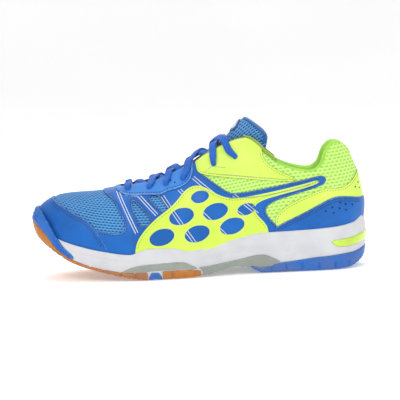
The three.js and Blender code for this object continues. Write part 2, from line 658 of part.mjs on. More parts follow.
addPiece("vamp_mesh", meshLayer.intersect(inFrontOf(vampRear)).subtract(allHoles), MESH_BLUE, 0.85);
addPiece("toe_cap", overlayLayer.intersect(inFrontOf(capEdge)).subtract(guardRoom), BLUE, 0.5);
const puffSide = sidePrism([[-6, 35], [13.5, 35], [12.5, 55], [11, 100], [-6, 100]]);
const toePuff = layer(-puffDepth + fitGap, -underMesh, seatStack).intersect(overBoard).intersect(puffSide);
addPiece("toe_puff", toePuff, DARK, 0.6);

for (const side of [LATERAL, MEDIAL]) {
  const half = halfSpace(side);
  const quarter = meshLayer.intersect(behindVamp).intersect(half).subtract(allHoles);
  addPiece("quarter_" + sideName(side), quarter, YELLOW_MESH, 0.8);
  const eyestay = overlayLayer.intersect(sidePrism(eyestayOutline)).intersect(half).subtract(allHoles);
  addPiece("eyestay_" + sideName(side), eyestay, LIGHT_BLUE, 0.45);
  const flap = overlayLayer.intersect(sidePrism(flapOutline)).intersect(half).subtract(allHoles);
  addPiece("collar_flap_" + sideName(side), flap, YELLOW, 0.5);
  const windows = windowOutlines.map((rows) => sidePrism(rows)).reduce((a, b) => a.add(b));
  const panel = panelLayer.intersect(sidePrism(panelOutline)).intersect(half).subtract(windows)
    .subtract(throatCut(laceHoleInset + panelSetBack));
  addPiece("side_panel_" + sideName(side), panel, YELLOW, 0.45);
}

addPiece("heel_overlay", overlayLayer.intersect(sidePrism(heelOverlayOutline)), BLUE, 0.5);
addPiece("heel_backstay", overlayLayer.intersect(sidePrism(backstayOutline)), YELLOW, 0.5);
const counterSide = sidePrism([[76, 20], [77, 45], [82, 62], [89, 74], [106, 78], [106, 20]]);
const heelCounter = layer(-counterDepth + fitGap, -underMesh, seatStack).intersect(overBoard);
addPiece("heel_counter", heelCounter.intersect(counterSide), DARK, 0.5);

const collarFoam = upperShape(-counterDepth).subtract(upperShape(foamInner, throughSeat))
  .intersect(belowCollar(2)).intersect(sidePrism([
    [73.5, 150], [73.5, 74], [76, 64], [86, 61], [106, 61], [106, 150],
  ]));
addPiece("collar_foam", collarFoam, FOAM_WHITE, 0.9);
const collarLining = layer(deeper(rearLiningOffset, liningThickness), rearLiningOffset, seatStack)
  .intersect(belowCollar(0)).intersect(behind([[63.4, 240], [63.4, 0]])).intersect(overBoard)
  .subtract(throatCut(0)).subtract(allHoles);
addPiece("collar_lining", collarLining, LINING_GREEN, 0.9);
const vampLining = layer(deeper(frontLiningOffset, liningThickness), frontLiningOffset, seatStack)
  .intersect(belowCollar(0)).intersect(inFrontOf([[63, 240], [63, 0]])).intersect(overBoard)
  .subtract(throatCut(liningSetBack));
addPiece("vamp_lining", vampLining, LINING_GREEN, 0.9);

// ---- seat of the foot

const strobel = upperShape(-underMesh, fitGap).subtract(upperShape(clearOfUpper, fitGap + strobelThickness));
addPiece("strobel_board", strobel, FOAM_WHITE, 0.9);
const socklinerInset = counterDepth + fitGap + liningThickness + 6 * fitGap;
const sockliner = upperShape(-socklinerInset, seatStack).intersect(overBoard)
  .subtract(upperShape(clearOfUpper, seatStack + socklinerThickness));
addPiece("sockliner", sockliner, BLUE, 0.9);

// ---- tongue

const frontEdgeDepth = underMesh + liningThickness + fitGap + 2 * laceRadius + fitGap;
const rearEdgeDepth = counterDepth + fitGap + liningThickness + 6 * fitGap + 2 * laceTipRadius + fitGap;
const tongueEdgeDepth = (s) => mix(frontEdgeDepth, rearEdgeDepth, smooth((s - 55) / 6)) + 6 * fitGap;
// Where the instep climbs, a depth measured square to the surface is a longer one measured upright.
const climb = (s) => Math.hypot(1, (ridge(s + 1) - ridge(s - 1)) / ((2 * shoeLength) / 100));
const tongueFaceOffset = (s, rise) =>
  -mix(tongueEdgeDepth(s), tongueCentreDepth, smooth((rise - 0.93) / 0.07)) * climb(s);
const tongueFoamAt = (s) => mix(tongueFoamThickness, tongueTopFoamThickness, smooth((s - 50) / 14));
const faceInner = deeper(tongueFaceOffset, tongueFaceThickness);
const foamOuter = deeper(faceInner, fitGap);
const foamUnder = (s, rise) => foamOuter(s, rise) - tongueFoamAt(s);
const liningOuter = deeper(foamUnder, fitGap);
const liningInner = deeper(liningOuter, tongueLiningThickness);

const tip = tongueTipHeight;
const tongueTop = [
  [72.4, tip - 42], [72.4, tip - 22], [71.6, tip - 15], [69.7, tip - 9.5], [66.8, tip - 3.5], [64.8, tip],
  [62, tip + 4],
];
const tongueSide = [[hingeStation, 50], ...tongueTop, [hingeStation, tip + 4]];
const tongueTaper = (s) => mix(tongueBaseHalfWidth, tongueTopHalfWidth, smooth((s - 56) / 8));
const tongueHalfWidth = (s) => Math.min(throatGap(s) + tongueWing, tongueTaper(s));
function tonguePlan(extra) {
  const stations = [hingeStation, 30, 34, 40, 48, 54, 58, 62, 66, 76];
  const edge = (side) => (s) => [s, side * (tongueHalfWidth(s) + extra) * sideShare(side, s)];
  const from = hingeStation - (extra / shoeLength) * 100;
  const near = stations.map(edge(-1));
  const far = stations.toReversed().map(edge(1));
  near[0] = [from, -13 - extra];
  far[far.length - 1] = [from, 13 + extra];
  return planPrism([...near, ...far], 40, 220);
}
const tongueRoom = sidePrism(tongueSide).intersect(tonguePlan(0));
const tongueLayer = (outer, inner) =>
  upperShape(outer).subtract(upperShape(inner, throughSeat)).intersect(tongueRoom);
addPiece("tongue_face", tongueLayer(tongueFaceOffset, faceInner), BLUE, 0.85);
addPiece("tongue_foam", tongueLayer(foamOuter, foamUnder), FOAM_WHITE, 0.9);
addPiece("tongue_lining", tongueLayer(liningOuter, liningInner), LINING_GREEN, 0.9);

const bindingFar = grown([[60, 90], ...tongueTop, [60, tip + 4]], tongueBindingWidth);
const bindingNear = grown([[60, 90], ...tongueTop, [60, tip + 4]], fitGap);
const binding = upperShape(tongueFaceOffset).subtract(upperShape(liningInner, throughSeat))
  .intersect(sidePrism(bindingFar)).subtract(sidePrism(bindingNear))
  .intersect(tonguePlan(0)).intersect(sidePrism([[61, tip - 25], [80, tip - 25], [80, 200], [61, 200]]));
addPiece("tongue_binding", binding, BLUE, 0.8);

const labelOutline = Array.from({ length: 16 }, (_, i) => {
  const turn = (i / 16) * Math.PI * 2;
  return [62 + 1.6 * Math.cos(turn), 9 * Math.sin(turn)];
});
const overTongue = (by) => (s, rise) => tongueFaceOffset(s, rise) + fitGap + by;
const label = upperShape(overTongue(labelThickness)).subtract(upperShape(overTongue(0), throughSeat))
  .intersect(planPrism(labelOutline, 80, 200));
addPiece("tongue_label", label, FOAM_WHITE, 0.4);

// ---- lace: one cord through the holes of both sides, crossing over the tongue, with its ends inside

const liftOver = fitGap + overlayThickness + 4 * fitGap + laceRadius;
const liftUnder = -(underMesh + liningThickness + fitGap + laceRadius);
const liftLow = -tongueCentreDepth + 4 * fitGap + laceRadius;
const liftHigh = liftLow + 2 * laceRadius + fitGap;
const atHole = (side, i, lift) =>
  onThroat(side, laceHoleStations[i], throatGap(laceHoleStations[i]) + holeInset(laceHoleStations[i]), lift);
const onThroat = (side, s, out, lift) => upperAt(side, s, out, lift).place;

// From under or over the edge of one side, over the tongue, to under or over the edge of the other.
function crossing(side, i, midLift) {
  const [from, to] = [laceHoleStations[i], laceHoleStations[i + 1]];
  const start = i === 0 ? liftUnder : liftOver;
  const end = i === laceHoleStations.length - 2 ? liftOver : liftUnder;
  const slope = (edgeLift) => Math.max(mix(edgeLift, midLift, 0.8), liftLow);
  const at = (own, share, across, lift) => {
    const s = mix(from, to, share);
    return onThroat(own, s, throatGap(s) * across, lift);
  };
  return [
    at(side, 0.13, 1.3, start), at(side, 0.24, 0.92, start), at(side, 0.38, 0.45, slope(start)),
    at(side, 0.5, 0, midLift),
    at(-side, 0.62, 0.45, slope(end)), at(-side, 0.76, 0.92, end), at(-side, 0.87, 1.3, end),
  ];
}
function laceHalf(side) {
  const points = [];
  let at = side;
  for (let i = 0; i < laceHoleStations.length; i += 1) {
    const inwards = i === 0 || i === laceHoleStations.length - 1;
    const lifts = inwards ? [liftOver, liftUnder] : [liftUnder, liftOver];
    points.push(atHole(at, i, lifts[0]), atHole(at, i, lifts[1]));
    if (i === laceHoleStations.length - 1) break;
    points.push(...crossing(at, i, side === LATERAL ? liftLow : liftHigh));
    at = -at;
  }
  return { points, end: at };
}
const lateralHalf = laceHalf(LATERAL);
const medialHalf = laceHalf(MEDIAL);
const tailLift = -(counterDepth + fitGap + liningThickness + 6 * fitGap + laceTipRadius);
const tailOf = (side) =>
  [62.6, 64.2, 65.6].map((s) => onThroat(side, s, throatGap(s) + tailSetBack, tailLift));
const frontBar = (side) => [
  onThroat(side, laceHoleStations[0], throatGap(laceHoleStations[0]) * 1.1, liftOver + 0.3),
  onThroat(side, laceHoleStations[0], throatGap(laceHoleStations[0]) * 0.5, liftLow + 0.8),
];
const lacePoints = [
  ...tailOf(lateralHalf.end).toReversed(), ...lateralHalf.points.toReversed(),
  ...frontBar(LATERAL), ...frontBar(MEDIAL).toReversed(),
  ...medialHalf.points, ...tailOf(medialHalf.end),
];
const lacePath = new THREE.CatmullRomCurve3(lacePoints, false, "centripetal");
lacePath.getUtoTmapping = (share) => share; // steps keep to the points, which are closer at the holes
const laceSection = new THREE.Shape(Array.from({ length: 8 }, (_, i) => new THREE.Vector2(
  laceRadius * Math.cos((i / 8) * Math.PI * 2), laceRadius * Math.sin((i / 8) * Math.PI * 2),
)));
const laceGeometry = new THREE.ExtrudeGeometry(laceSection, {
  steps: lacePoints.length - 1, bevelEnabled: false, extrudePath: lacePath,
});
addPiece("lace", solidOf(laceGeometry), BLUE, 0.7);

// The hard tips carry on from the tails, under the flaps.
for (const half of [lateralHalf, medialHalf]) {
  const tail = tailOf(half.end);
  const direction = tail[2].clone().sub(tail[1]).normalize();
  const tipShape = new THREE.CylinderGeometry(laceTipRadius, laceTipRadius, laceTipLength, holeSides);
  tipShape.applyQuaternion(new THREE.Quaternion().setFromUnitVectors(new THREE.Vector3(0, 1, 0), direction));
  const middle = tail[2].clone().addScaledVector(direction, fitGap + laceTipLength / 2);
  tipShape.translate(middle.x, middle.y, middle.z);
  addPiece("lace_tip_" + sideName(half.end), solidOf(tipShape), BLUE, 0.3);
}

export default group;
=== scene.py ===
"""A low-cut court shoe for racket sports: its looks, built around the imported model.

Lengths are millimetres until a mesh is made. X runs from the toe (-) to the heel (+), -Y is the lateral side
and Z is up. A station is a place along the shoe as a percentage of its length, 0 at the toe.
"""

import math

import bmesh
import bpy
import numpy as np
from mathutils import Matrix, Vector

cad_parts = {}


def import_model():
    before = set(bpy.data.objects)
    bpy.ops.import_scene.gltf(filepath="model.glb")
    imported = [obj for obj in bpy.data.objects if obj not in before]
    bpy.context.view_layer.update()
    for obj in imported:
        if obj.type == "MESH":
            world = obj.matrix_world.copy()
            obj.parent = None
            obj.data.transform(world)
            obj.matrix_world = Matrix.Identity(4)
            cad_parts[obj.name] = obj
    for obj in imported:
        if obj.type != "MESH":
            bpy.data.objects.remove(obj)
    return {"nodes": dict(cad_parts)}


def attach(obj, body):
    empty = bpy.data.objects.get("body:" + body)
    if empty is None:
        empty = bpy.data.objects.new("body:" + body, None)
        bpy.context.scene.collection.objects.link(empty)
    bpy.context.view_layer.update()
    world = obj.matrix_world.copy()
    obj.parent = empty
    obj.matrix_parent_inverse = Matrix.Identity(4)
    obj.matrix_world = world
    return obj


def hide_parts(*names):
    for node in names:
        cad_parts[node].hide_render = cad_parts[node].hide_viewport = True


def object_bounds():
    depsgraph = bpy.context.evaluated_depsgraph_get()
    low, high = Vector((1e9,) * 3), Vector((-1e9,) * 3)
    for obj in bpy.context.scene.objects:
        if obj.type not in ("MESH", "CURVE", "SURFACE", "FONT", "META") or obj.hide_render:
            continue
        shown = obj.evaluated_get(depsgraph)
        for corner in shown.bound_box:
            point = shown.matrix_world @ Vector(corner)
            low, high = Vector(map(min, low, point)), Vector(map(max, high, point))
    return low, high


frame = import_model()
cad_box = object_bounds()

MM = 0.001
LATERAL, MEDIAL = -1, 1
SIDE_NAME = {LATERAL: "lateral", MEDIAL: "medial"}
QUARTER = math.pi / 2
FULL_TURN = 2 * math.pi

# ---------------------------------------------------------------- the shoe's size and its curves

toe_x = cad_box[0].x / MM
heel_x = cad_box[1].x / MM
length = heel_x - toe_x
FOREFOOT_WIDTH = 105.0
HEEL_WIDTH = 76.0
TOE_SHIFT = 6.0
UPPER_SIDE_INSET = 4.0
UPPER_TOE_INSET = 4.6
UPPER_HEEL_INSET = 1.2


def x_at(station):
    return toe_x + np.asarray(station, float) * length / 100


def station_of(x):
    return (np.asarray(x, float) - toe_x) * 100 / length


def smooth(t):
    t = np.clip(t, 0, 1)
    return t * t * (3 - 2 * t)


def mix(a, b, t):
    return a + (b - a) * t


def unit(v):
    return v / np.maximum(np.linalg.norm(v, axis=-1, keepdims=True), 1e-9)


def run_along(points):
    """The length of a line up to each of its points."""
    return np.concatenate([[0], np.cumsum(np.linalg.norm(np.diff(points, axis=0), axis=1))])


def end_angle(station):
    """Even steps of this angle lie closer together towards the toe and the heel."""
    return np.arccos(1 - 2 * np.clip(np.asarray(station, float) / 100, 0, 1))


def curve_through(rows, warp=None):
    """A smooth curve through [place, value] rows that does not overshoot between them."""
    at, value = np.array(rows, float).T
    if warp:
        at = warp(at)
    slope = np.diff(value) / np.diff(at)
    tangent = np.concatenate([[slope[0]], np.zeros(len(slope) - 1), [slope[-1]]])
    for i in range(1, len(slope)):
        before, after = slope[i - 1], slope[i]
        if before * after > 0:
            tangent[i] = 2 * before * after / (before + after)

    def curve(place):
        place = np.asarray(place, float)
        u = np.clip(warp(place) if warp else place, at[0], at[-1])
        i = np.clip(np.searchsorted(at, u, side="right") - 1, 0, len(at) - 2)
        h = at[i + 1] - at[i]
        k = (u - at[i]) / h
        bend = h * (tangent[i] * (1 - k) - tangent[i + 1] * k)
        return mix(value[i], value[i + 1], k * k * (3 - 2 * k)) + bend * k * (1 - k)

    return curve


lateral_share = curve_through([
    (0, 0), (3, 0.224), (8, 0.343), (15, 0.43), (25, 0.495), (33, 0.524), (45, 0.495), (55, 0.458),
    (65, 0.497), (75, 0.5), (85, 0.5), (93, 0.434), (98, 0.263), (100, 0)], end_angle)
medial_share = curve_through([
    (0, 0), (3, 0.224), (8, 0.343), (15, 0.43), (25, 0.476), (33, 0.476), (45, 0.381), (55, 0.328),
    (65, 0.385), (75, 0.434), (85, 0.46), (93, 0.408), (98, 0.25), (100, 0)], end_angle)
tread = curve_through([
    (0, 53), (0.8, 42.4), (1.9, 37.7), (3.7, 32.9), (8.1, 23.3), (12.5, 15.9), (16.4, 11.7), (20.9, 7.9),
    (25.4, 4.4), (29.9, 1.6), (34.4, 0), (46, 0), (50, 1.4), (55.7, 4.3), (58.2, 6.7), (60.6, 7.3),
    (62.7, 6.7), (64.8, 4.9), (66.6, 2), (68.4, 0), (90.5, 0), (93.6, 0.9), (95.7, 2.7), (98.2, 7.4),
    (99.5, 12.2), (100, 18.5)])
gum_top = curve_through([
    (0, 54.5), (1.8, 48.7), (3.5, 44.3), (5.3, 38.2), (6.7, 31.6), (8.1, 27.4), (10.8, 21.4), (12.6, 18.8),
    (16.4, 14), (20.9, 10.6), (25.4, 7.9), (30, 6.6), (35, 7), (45, 7.4), (51, 6)])
bite_line = curve_through([
    (0, 57), (2, 50), (5, 42.5), (8.6, 36.4), (13.7, 31.2), (21.2, 25.8), (29.6, 22.3), (33.6, 26.3),
    (36.3, 27), (42.5, 26.2), (46.5, 23.4), (51.5, 24.9), (59.1, 30.2), (67.7, 35), (77.4, 35.6),
    (89.6, 37.2), (95.7, 40), (99, 45.9), (100, 46.4)])
seat = curve_through([
    (0, 54), (2, 48), (5, 38.5), (8.6, 30), (14, 23.5), (21, 18.5), (30, 16), (46, 16), (55, 19), (62, 22),
    (70, 25.5), (80, 28), (90, 30), (100, 33)])
ridge = curve_through([
    (0, 56), (1, 62), (2.2, 65.5), (4.3, 69.5), (7.3, 74), (11.3, 75.4), (19, 76.2), (26.6, 79.3),
    (30, 81.5), (35.8, 85), (42, 93.5), (47.3, 101.5), (51.3, 109), (56.7, 119), (60.7, 127.5),
    (64.7, 136), (70, 148), (75, 157), (83, 165), (100, 165)], end_angle)
fullness = curve_through([
    (0, 2.4), (20, 2.4), (30, 2.3), (42, 2.05), (48, 2.05), (54, 2.25), (60, 2.3), (66, 2.3), (75, 2.1),
    (100, 2)])
throat_gap = curve_through([
    (26.5, 0), (27, 6), (28.5, 11.5), (32.5, 14), (46, 15), (54, 14.5), (58, 16), (62.7, 18), (66.5, 20),
    (76, 20)])
heel_rubber_side = curve_through([
    (73.7, 8.7), (77, 9.2), (83.1, 11.6), (89.2, 12.6), (93.8, 13.9), (96.8, 15), (100, 19)])
# How far the sole's wall stands in from its widest line, from the tread (0) to the lip (1).
wall_inset = curve_through([(-0.2, 2.6), (0, 2.2), (0.25, 0.5), (0.6, 0), (1, 1.2)])


def width_at(s):
    return mix(FOREFOOT_WIDTH, HEEL_WIDTH, smooth((s - 50) / 20))


def centre_at(s):
    return TOE_SHIFT * np.clip(1 - np.asarray(s, float) / 25, 0, 1) ** 2


def half_width(side, s, inset):
    share = np.where(np.asarray(side) == LATERAL, lateral_share(s), medial_share(s))
    return share * (width_at(s) - 2 * inset)


all_stations = np.linspace(0, 100, 400)
y_shift = (half_width(LATERAL, all_stations, 0).max() - half_width(MEDIAL, all_stations, 0).max()) / 2


def across_at(side, s, inset, share=1.0):
    """The Y of a place at a share of the half width, on a side that is set in."""
    return centre_at(s) + side * half_width(side, s, inset) * share + y_shift


upper_length = length - UPPER_TOE_INSET - UPPER_HEEL_INSET


def upper_x(s, inset=0.0):
    return toe_x + UPPER_TOE_INSET + inset + (upper_length - 2 * inset) * s / 100


def sole_x(s, inset):
    return toe_x + inset + (length - 2 * inset) * s / 100


def points_of(x, y, z):
    return np.stack(np.broadcast_arrays(x, y, z), -1)


def side_and_station(u):
    """Where an angle lies that runs along the lateral side to the heel and back along the medial side."""
    return np.where(np.mod(u, FULL_TURN) <= math.pi, LATERAL, MEDIAL), 50 * (1 - np.cos(u))

# ---------------------------------------------------------------- surfaces, as charts of two angles

LEAN_LOW, LEAN_HIGH, LEAN_FROM, LEAN_SPAN, LEAN_LEVEL = -0.12, 0.30, 46.0, 24.0, 58
LEAN_START = 63


def lean_at(z):
    """How far the heel wall leans forward at a height."""
    t = np.clip((z - LEAN_FROM) / LEAN_SPAN, 0, 1)
    above = np.maximum(z - LEAN_FROM - LEAN_SPAN, 0)
    return LEAN_LOW * (z - LEAN_LEVEL) + LEAN_HIGH * (LEAN_SPAN * (t ** 3 - t ** 4 / 2) + above)


def upper(side, s, angle):
    """The outer surface of the upper, turned up by an angle from the seat to the ridge."""
    n = 2 / fullness(s)
    x = upper_x(s)
    low = seat(station_of(x))
    z = mix(low, np.maximum(ridge(s), low + 0.5), np.abs(np.sin(angle)) ** n)
    return points_of(x - smooth((s - LEAN_START) / (100 - LEAN_START)) * lean_at(z),
                     across_at(side, s, UPPER_SIDE_INSET, np.abs(np.cos(angle)) ** n), z)


def over(u, v):
    """Toe to heel (u), and from the lateral edge over the top to the medial edge (v)."""
    side = np.where(v <= QUARTER, LATERAL, MEDIAL)
    return upper(side, 50 * (1 - np.cos(u)), np.where(v <= QUARTER, v, math.pi - v))


def around(u, v):
    """Round the upper (u) and upwards (v)."""
    return upper(*side_and_station(u), v)


LIP_TURN, LIP_WIDTH, SEAT_DEPTH = 1.3, 3.6, 2


def sole(u, q):
    """Round the sole (u), and from the middle of its underside (-1) to its edge (0), up the wall to the
    lip (1), over the lip (LIP_TURN) and in to the middle under the foot (2)."""
    side, s = side_and_station(u)
    k = np.clip(q, 0, 1)
    over_lip = np.clip((q - 1) / (LIP_TURN - 1), 0, 1)
    inset = wall_inset(k) + LIP_WIDTH * over_lip
    x = sole_x(s, inset)
    st = station_of(x)
    lip = bite_line(st) + 0.9 * np.sin(np.clip(over_lip * 1.6, 0, 1) * math.pi) - 1.5 * over_lip
    low = tread(st) + 0.45
    z = np.where(q <= 1, mix(low, np.maximum(bite_line(st), low + 0.5), k), lip)
    z = np.where(q > LIP_TURN, mix(z, seat(st) - SEAT_DEPTH, np.clip((q - LIP_TURN) * 6, 0, 1)), z)
    inwards = np.where(q < 0, 1 + q, np.clip((2 - q) / (2 - LIP_TURN), 0, 1))
    return points_of(x, across_at(side, s, inset, inwards), z)


guard_inset = curve_through([(20, 0), (52, 0.2), (57, 1.4), (60, 2.6), (62, 3.6), (64.5, 5.8), (67, 8)])


def guard_wall(u, v):
    """Round the toe (u) and upwards (v, in millimetres): the sole's wall carried up over the toe."""
    side, s = side_and_station(u)
    k = (v - tread(s)) / np.maximum(bite_line(s) - tread(s), 1)
    inset = np.where(k < 0.6, wall_inset(k), 0) + guard_inset(v)
    return points_of(sole_x(s, inset), across_at(side, s, inset), v)


def normals_of(chart, u, v, step=0.004):
    across = chart(u + step, v) - chart(u - step, v)
    up = chart(u, v + step) - chart(u, v - step)
    return unit(np.cross(across, up))


# ---------------------------------------------------------------- outlines

def softened(rows, times=3):
    """A closed outline with its corners rounded. A row with a third value keeps its corner."""
    points = [(float(r[0]), float(r[1]), len(r) > 2) for r in rows]
    for _ in range(times):
        made = []
        for i, (ax, ay, kept) in enumerate(points):
            bx, by, kept_b = points[(i + 1) % len(points)]
            if kept:
                made.append((ax, ay, True))
            else:
                made.append((mix(ax, bx, 0.25), mix(ay, by, 0.25), False))
            if not kept_b:
                made.append((mix(ax, bx, 0.75), mix(ay, by, 0.75), False))
        points = made
    return np.array([(x, y) for x, y, _ in points])


def side_outline(rows, times=3):
    """[station, height] rows as a smooth outline in the side view."""
    points = softened(rows, times)
    return np.stack([x_at(points[:, 0]), points[:, 1]], -1)


def inside_by(outline, px, pz):
    """How far inside an outline each point lies, and negative outside."""
    shape = px.shape
    p = np.stack([px.ravel(), pz.ravel()], -1)
    best = np.full(len(p), 1e9)
    inside = np.zeros(len(p), bool)
    for a, b in zip(outline, np.roll(outline, -1, 0)):
        edge = b - a
        share = np.clip(((p - a) @ edge) / max(edge @ edge, 1e-12), 0, 1)
        best = np.minimum(best, np.linalg.norm(p - a - share[:, None] * edge, axis=1))
        crosses = (a[1] > p[:, 1]) != (b[1] > p[:, 1])
        rise = b[1] - a[1]
        at = a[0] + (p[:, 1] - a[1]) * edge[0] / (rise if rise else 1e-12)
        inside ^= crosses & (p[:, 0] < at)
    return np.where(inside, best, -best).reshape(shape)


SIDE_LOW = 89.0
HEEL_TOP = 113.0
collar_rows = [
    (62.5, SIDE_LOW + 32.6), (64.2, SIDE_LOW + 32), (66.5, SIDE_LOW + 29.5), (68.6, SIDE_LOW + 24.5),
    (70.9, SIDE_LOW + 16.8), (73.8, SIDE_LOW + 9.3), (76.5, SIDE_LOW + 5), (80, SIDE_LOW + 1.6),
    (83.1, SIDE_LOW), (85, SIDE_LOW + 1.2), (86.8, SIDE_LOW + 5.6), (87.8, 103.9), (89, HEEL_TOP - 3.4),
    (91, HEEL_TOP + 0.4), (93.2, HEEL_TOP + 0.4), (95, HEEL_TOP - 3), (96.2, HEEL_TOP - 8),
    (97.2, HEEL_TOP - 16), (98.5, HEEL_TOP - 26), (104, HEEL_TOP - 34)]
collar_outline = side_outline(
    [(-6, -20, 1), (-6, 260, 1), (62.4, 260, 1)] + collar_rows + [(104, -20, 1)], 2)


def plan_ring(stations, half):
    """An outline in the plan view that reaches half as far to each side."""
    near = np.stack([x_at(stations), -half], -1)
    far = np.stack([x_at(stations[::-1]), half[::-1]], -1)
    return np.concatenate([near, far])


def throat_outline(extra=0.0):
    stations = np.array([26.5, 26.7, 27.1, 27.9, 29.5, 32, 36, 42, 50, 58, 62.7, 66.5, 76])
    gaps = throat_gap(stations) + extra
    gaps[0] = extra * 0.6
    front = stations - extra / length * 100 * (stations < 28)
    return plan_ring(front, gaps)


def side_share(side, s):
    """How much wider a side is than the mean of both."""
    own, *both = [half_width(k, s, UPPER_SIDE_INSET) for k in (side, LATERAL, MEDIAL)]
    return 2 * own / np.maximum(sum(both), 0.1)


def plan_of(p):
    """Places in the plan view, with each side's width made even."""
    s = np.clip(station_of(p[..., 0]), 0.5, 99.5)
    y = p[..., 1] - y_shift - centre_at(s)
    side = np.where(y < 0, LATERAL, MEDIAL)
    return p[..., 0], y / side_share(side, s)


def outside_throat(p, extra=0.0):
    x, y = plan_of(p)
    d = -inside_by(throat_outline(extra), x, y)
    return np.where(p[..., 2] > 60, d, 1e3)


def within(outline, margin=0.0):
    return lambda p: inside_by(outline, p[..., 0], p[..., 2]) - margin


def clear_of(*outlines, margin=0.0):
    return lambda p: np.minimum.reduce([-within(o)(p) for o in outlines]) - margin


def under_collar(p, margin=0.0):
    return within(collar_outline, margin)(p)


def over_bite(p, by=-2.5):
    return p[..., 2] - bite_line(station_of(p[..., 0])) - by


def behind(station, gap=0.0):
    return lambda p: p[..., 0] - x_at(station) - gap


def before(station):
    return lambda p: x_at(station) - p[..., 0]


def at_least(*tests):
    """Inside all of these at once."""
    return lambda p: np.minimum.reduce([t(p) for t in tests])


def on_side(side, gap=0.2):
    return lambda p: side * (p[..., 1] - y_shift - centre_at(station_of(p[..., 0]))) - gap


# ---------------------------------------------------------------- sheets cut from a surface

SNAP = 0.32


def cut_sheet(chart, u_range, v_range, count, *tests):
    """A fine grid on a chart, cut cleanly along the line where any of the tests turns negative."""
    nu, nv = count
    u, v = np.meshgrid(np.linspace(*u_range, nu + 1), np.linspace(*v_range, nv + 1), indexing="ij")
    grid = chart(u, v)
    run = run_along(grid[:, nv // 2])
    climb = np.zeros_like(u)
    climb[:, 1:] = np.cumsum(np.linalg.norm(np.diff(grid, axis=1), axis=2), axis=1)
    d = at_least(*tests)(grid)
    # Grid points close to the cut move onto it, so that no sliver is left.
    moves = []
    for du, dv in ((1, 0), (0, 1)):
        a = d[:nu + 1 - du, :nv + 1 - dv]
        b = d[du:, dv:]
        for i, j in zip(*np.nonzero((a > 0) != (b > 0))):
            share = a[i, j] / (a[i, j] - b[i, j])
            if share < SNAP:
                moves.append((share, i, j, i + du, j + dv, share))
            elif share > 1 - SNAP:
                moves.append((1 - share, i + du, j + dv, i, j, 1 - share))
    moved = set()
    u2, v2 = u.copy(), v.copy()
    run_of = np.repeat(run[:, None], nv + 1, 1)
    climb_of = climb.copy()
    d2 = d.copy()
    for _, i, j, i2, j2, share in sorted(moves):
        if (i, j) in moved:
            continue
        moved.add((i, j))
        u2[i, j] = mix(u[i, j], u[i2, j2], share)
        v2[i, j] = mix(v[i, j], v[i2, j2], share)
        run_of[i, j] = mix(run[i], run[i2], share)
        climb_of[i, j] = mix(climb[i, j], climb[i2, j2], share)
        d2[i, j] = 0
    verts = []
    where = -np.ones_like(u, int)
    on_edge = {}

    def corner(i, j):
        if where[i, j] < 0:
            where[i, j] = len(verts)
            verts.append((u2[i, j], v2[i, j], d2[i, j], run_of[i, j], climb_of[i, j]))
        return where[i, j]

    def crossing(a, b):
        key = (a, b) if a < b else (b, a)
        if key not in on_edge:
            a, b = key
            t = d2[a] / (d2[a] - d2[b])
            on_edge[key] = len(verts)
            verts.append((mix(u2[a], u2[b], t), mix(v2[a], v2[b], t), 0.0,
                          mix(run_of[a], run_of[b], t), mix(climb_of[a], climb_of[b], t)))
        return on_edge[key]

    faces = []
    corners = [d2[:-1, :-1], d2[1:, :-1], d2[1:, 1:], d2[:-1, 1:]]
    low, high = np.minimum.reduce(corners), np.maximum.reduce(corners)
    for i, j in zip(*np.nonzero(high > 0)):
        cell = [(i, j), (i + 1, j), (i + 1, j + 1), (i, j + 1)]
        if low[i, j] >= 0:
            faces.append([corner(*c) for c in cell])
            continue
        face = []
        for a, b in zip(cell, cell[1:] + cell[:1]):
            if d2[a] >= 0:
                face.append(corner(*a))
            if d2[a] * d2[b] < 0:
                face.append(crossing(a, b))
        if len(face) > 2:
            faces.append(face)
    table = np.array(verts)
    return {"u": table[:, 0], "v": table[:, 1], "d": table[:, 2],
            "flow": np.stack([table[:, 3], table[:, 4], table[:, 2]], -1), "faces": faces}


def new_mesh(name, verts, faces, flow=None, sharp=None):
    mesh = bpy.data.meshes.new(name)
    mesh.from_pydata([tuple(p) for p in np.asarray(verts) * MM], [], faces)
    if flow is not None:
        data = mesh.attributes.new("flow", "FLOAT_VECTOR", "POINT").data
        data.foreach_set("vector", np.asarray(flow, np.float32).ravel())
    mesh.polygons.foreach_set("use_smooth", [True] * len(mesh.polygons))
    if sharp:
        mesh.set_sharp_from_angle(angle=math.radians(sharp))
    obj = bpy.data.objects.new(name, mesh)
    bpy.context.scene.collection.objects.link(obj)
    return obj


def tidy_mesh(obj, merge=0.02):
    """Joins points that coincide at a pole or a seam, and drops faces with no area."""
    work = bmesh.new()
    work.from_mesh(obj.data)
    bmesh.ops.remove_doubles(work, verts=work.verts, dist=merge * MM)
    bmesh.ops.dissolve_degenerate(work, edges=work.edges, dist=1e-6)
    bmesh.ops.recalc_face_normals(work, faces=work.faces)
    work.to_mesh(obj.data)
    work.free()
    return obj


def shell(name, chart, sheet, heights, sharp=38):
    """A closed skin on a chart: a top and a bottom, each at a height over the surface, and walls between."""
    place = chart(sheet["u"], sheet["v"])
    normal = normals_of(chart, sheet["u"], sheet["v"])
    count = len(place)
    flow = sheet["flow"]
    levels = [h(sheet["d"], flow, place) if callable(h) else np.full(count, float(h)) for h in heights]
    verts = np.concatenate([place + normal * level[:, None] for level in levels])
    used = {}
    for face in sheet["faces"]:
        for a, b in zip(face, face[1:] + face[:1]):
            used[(a, b)] = used.get((a, b), 0) + 1
    walls = [[b, a, a + count, b + count] for a, b in used if (b, a) not in used]
    faces = sheet["faces"] + [[i + count for i in reversed(f)] for f in sheet["faces"]] + walls
    return tidy_mesh(new_mesh(name, verts, faces, np.concatenate([flow, flow]), sharp))


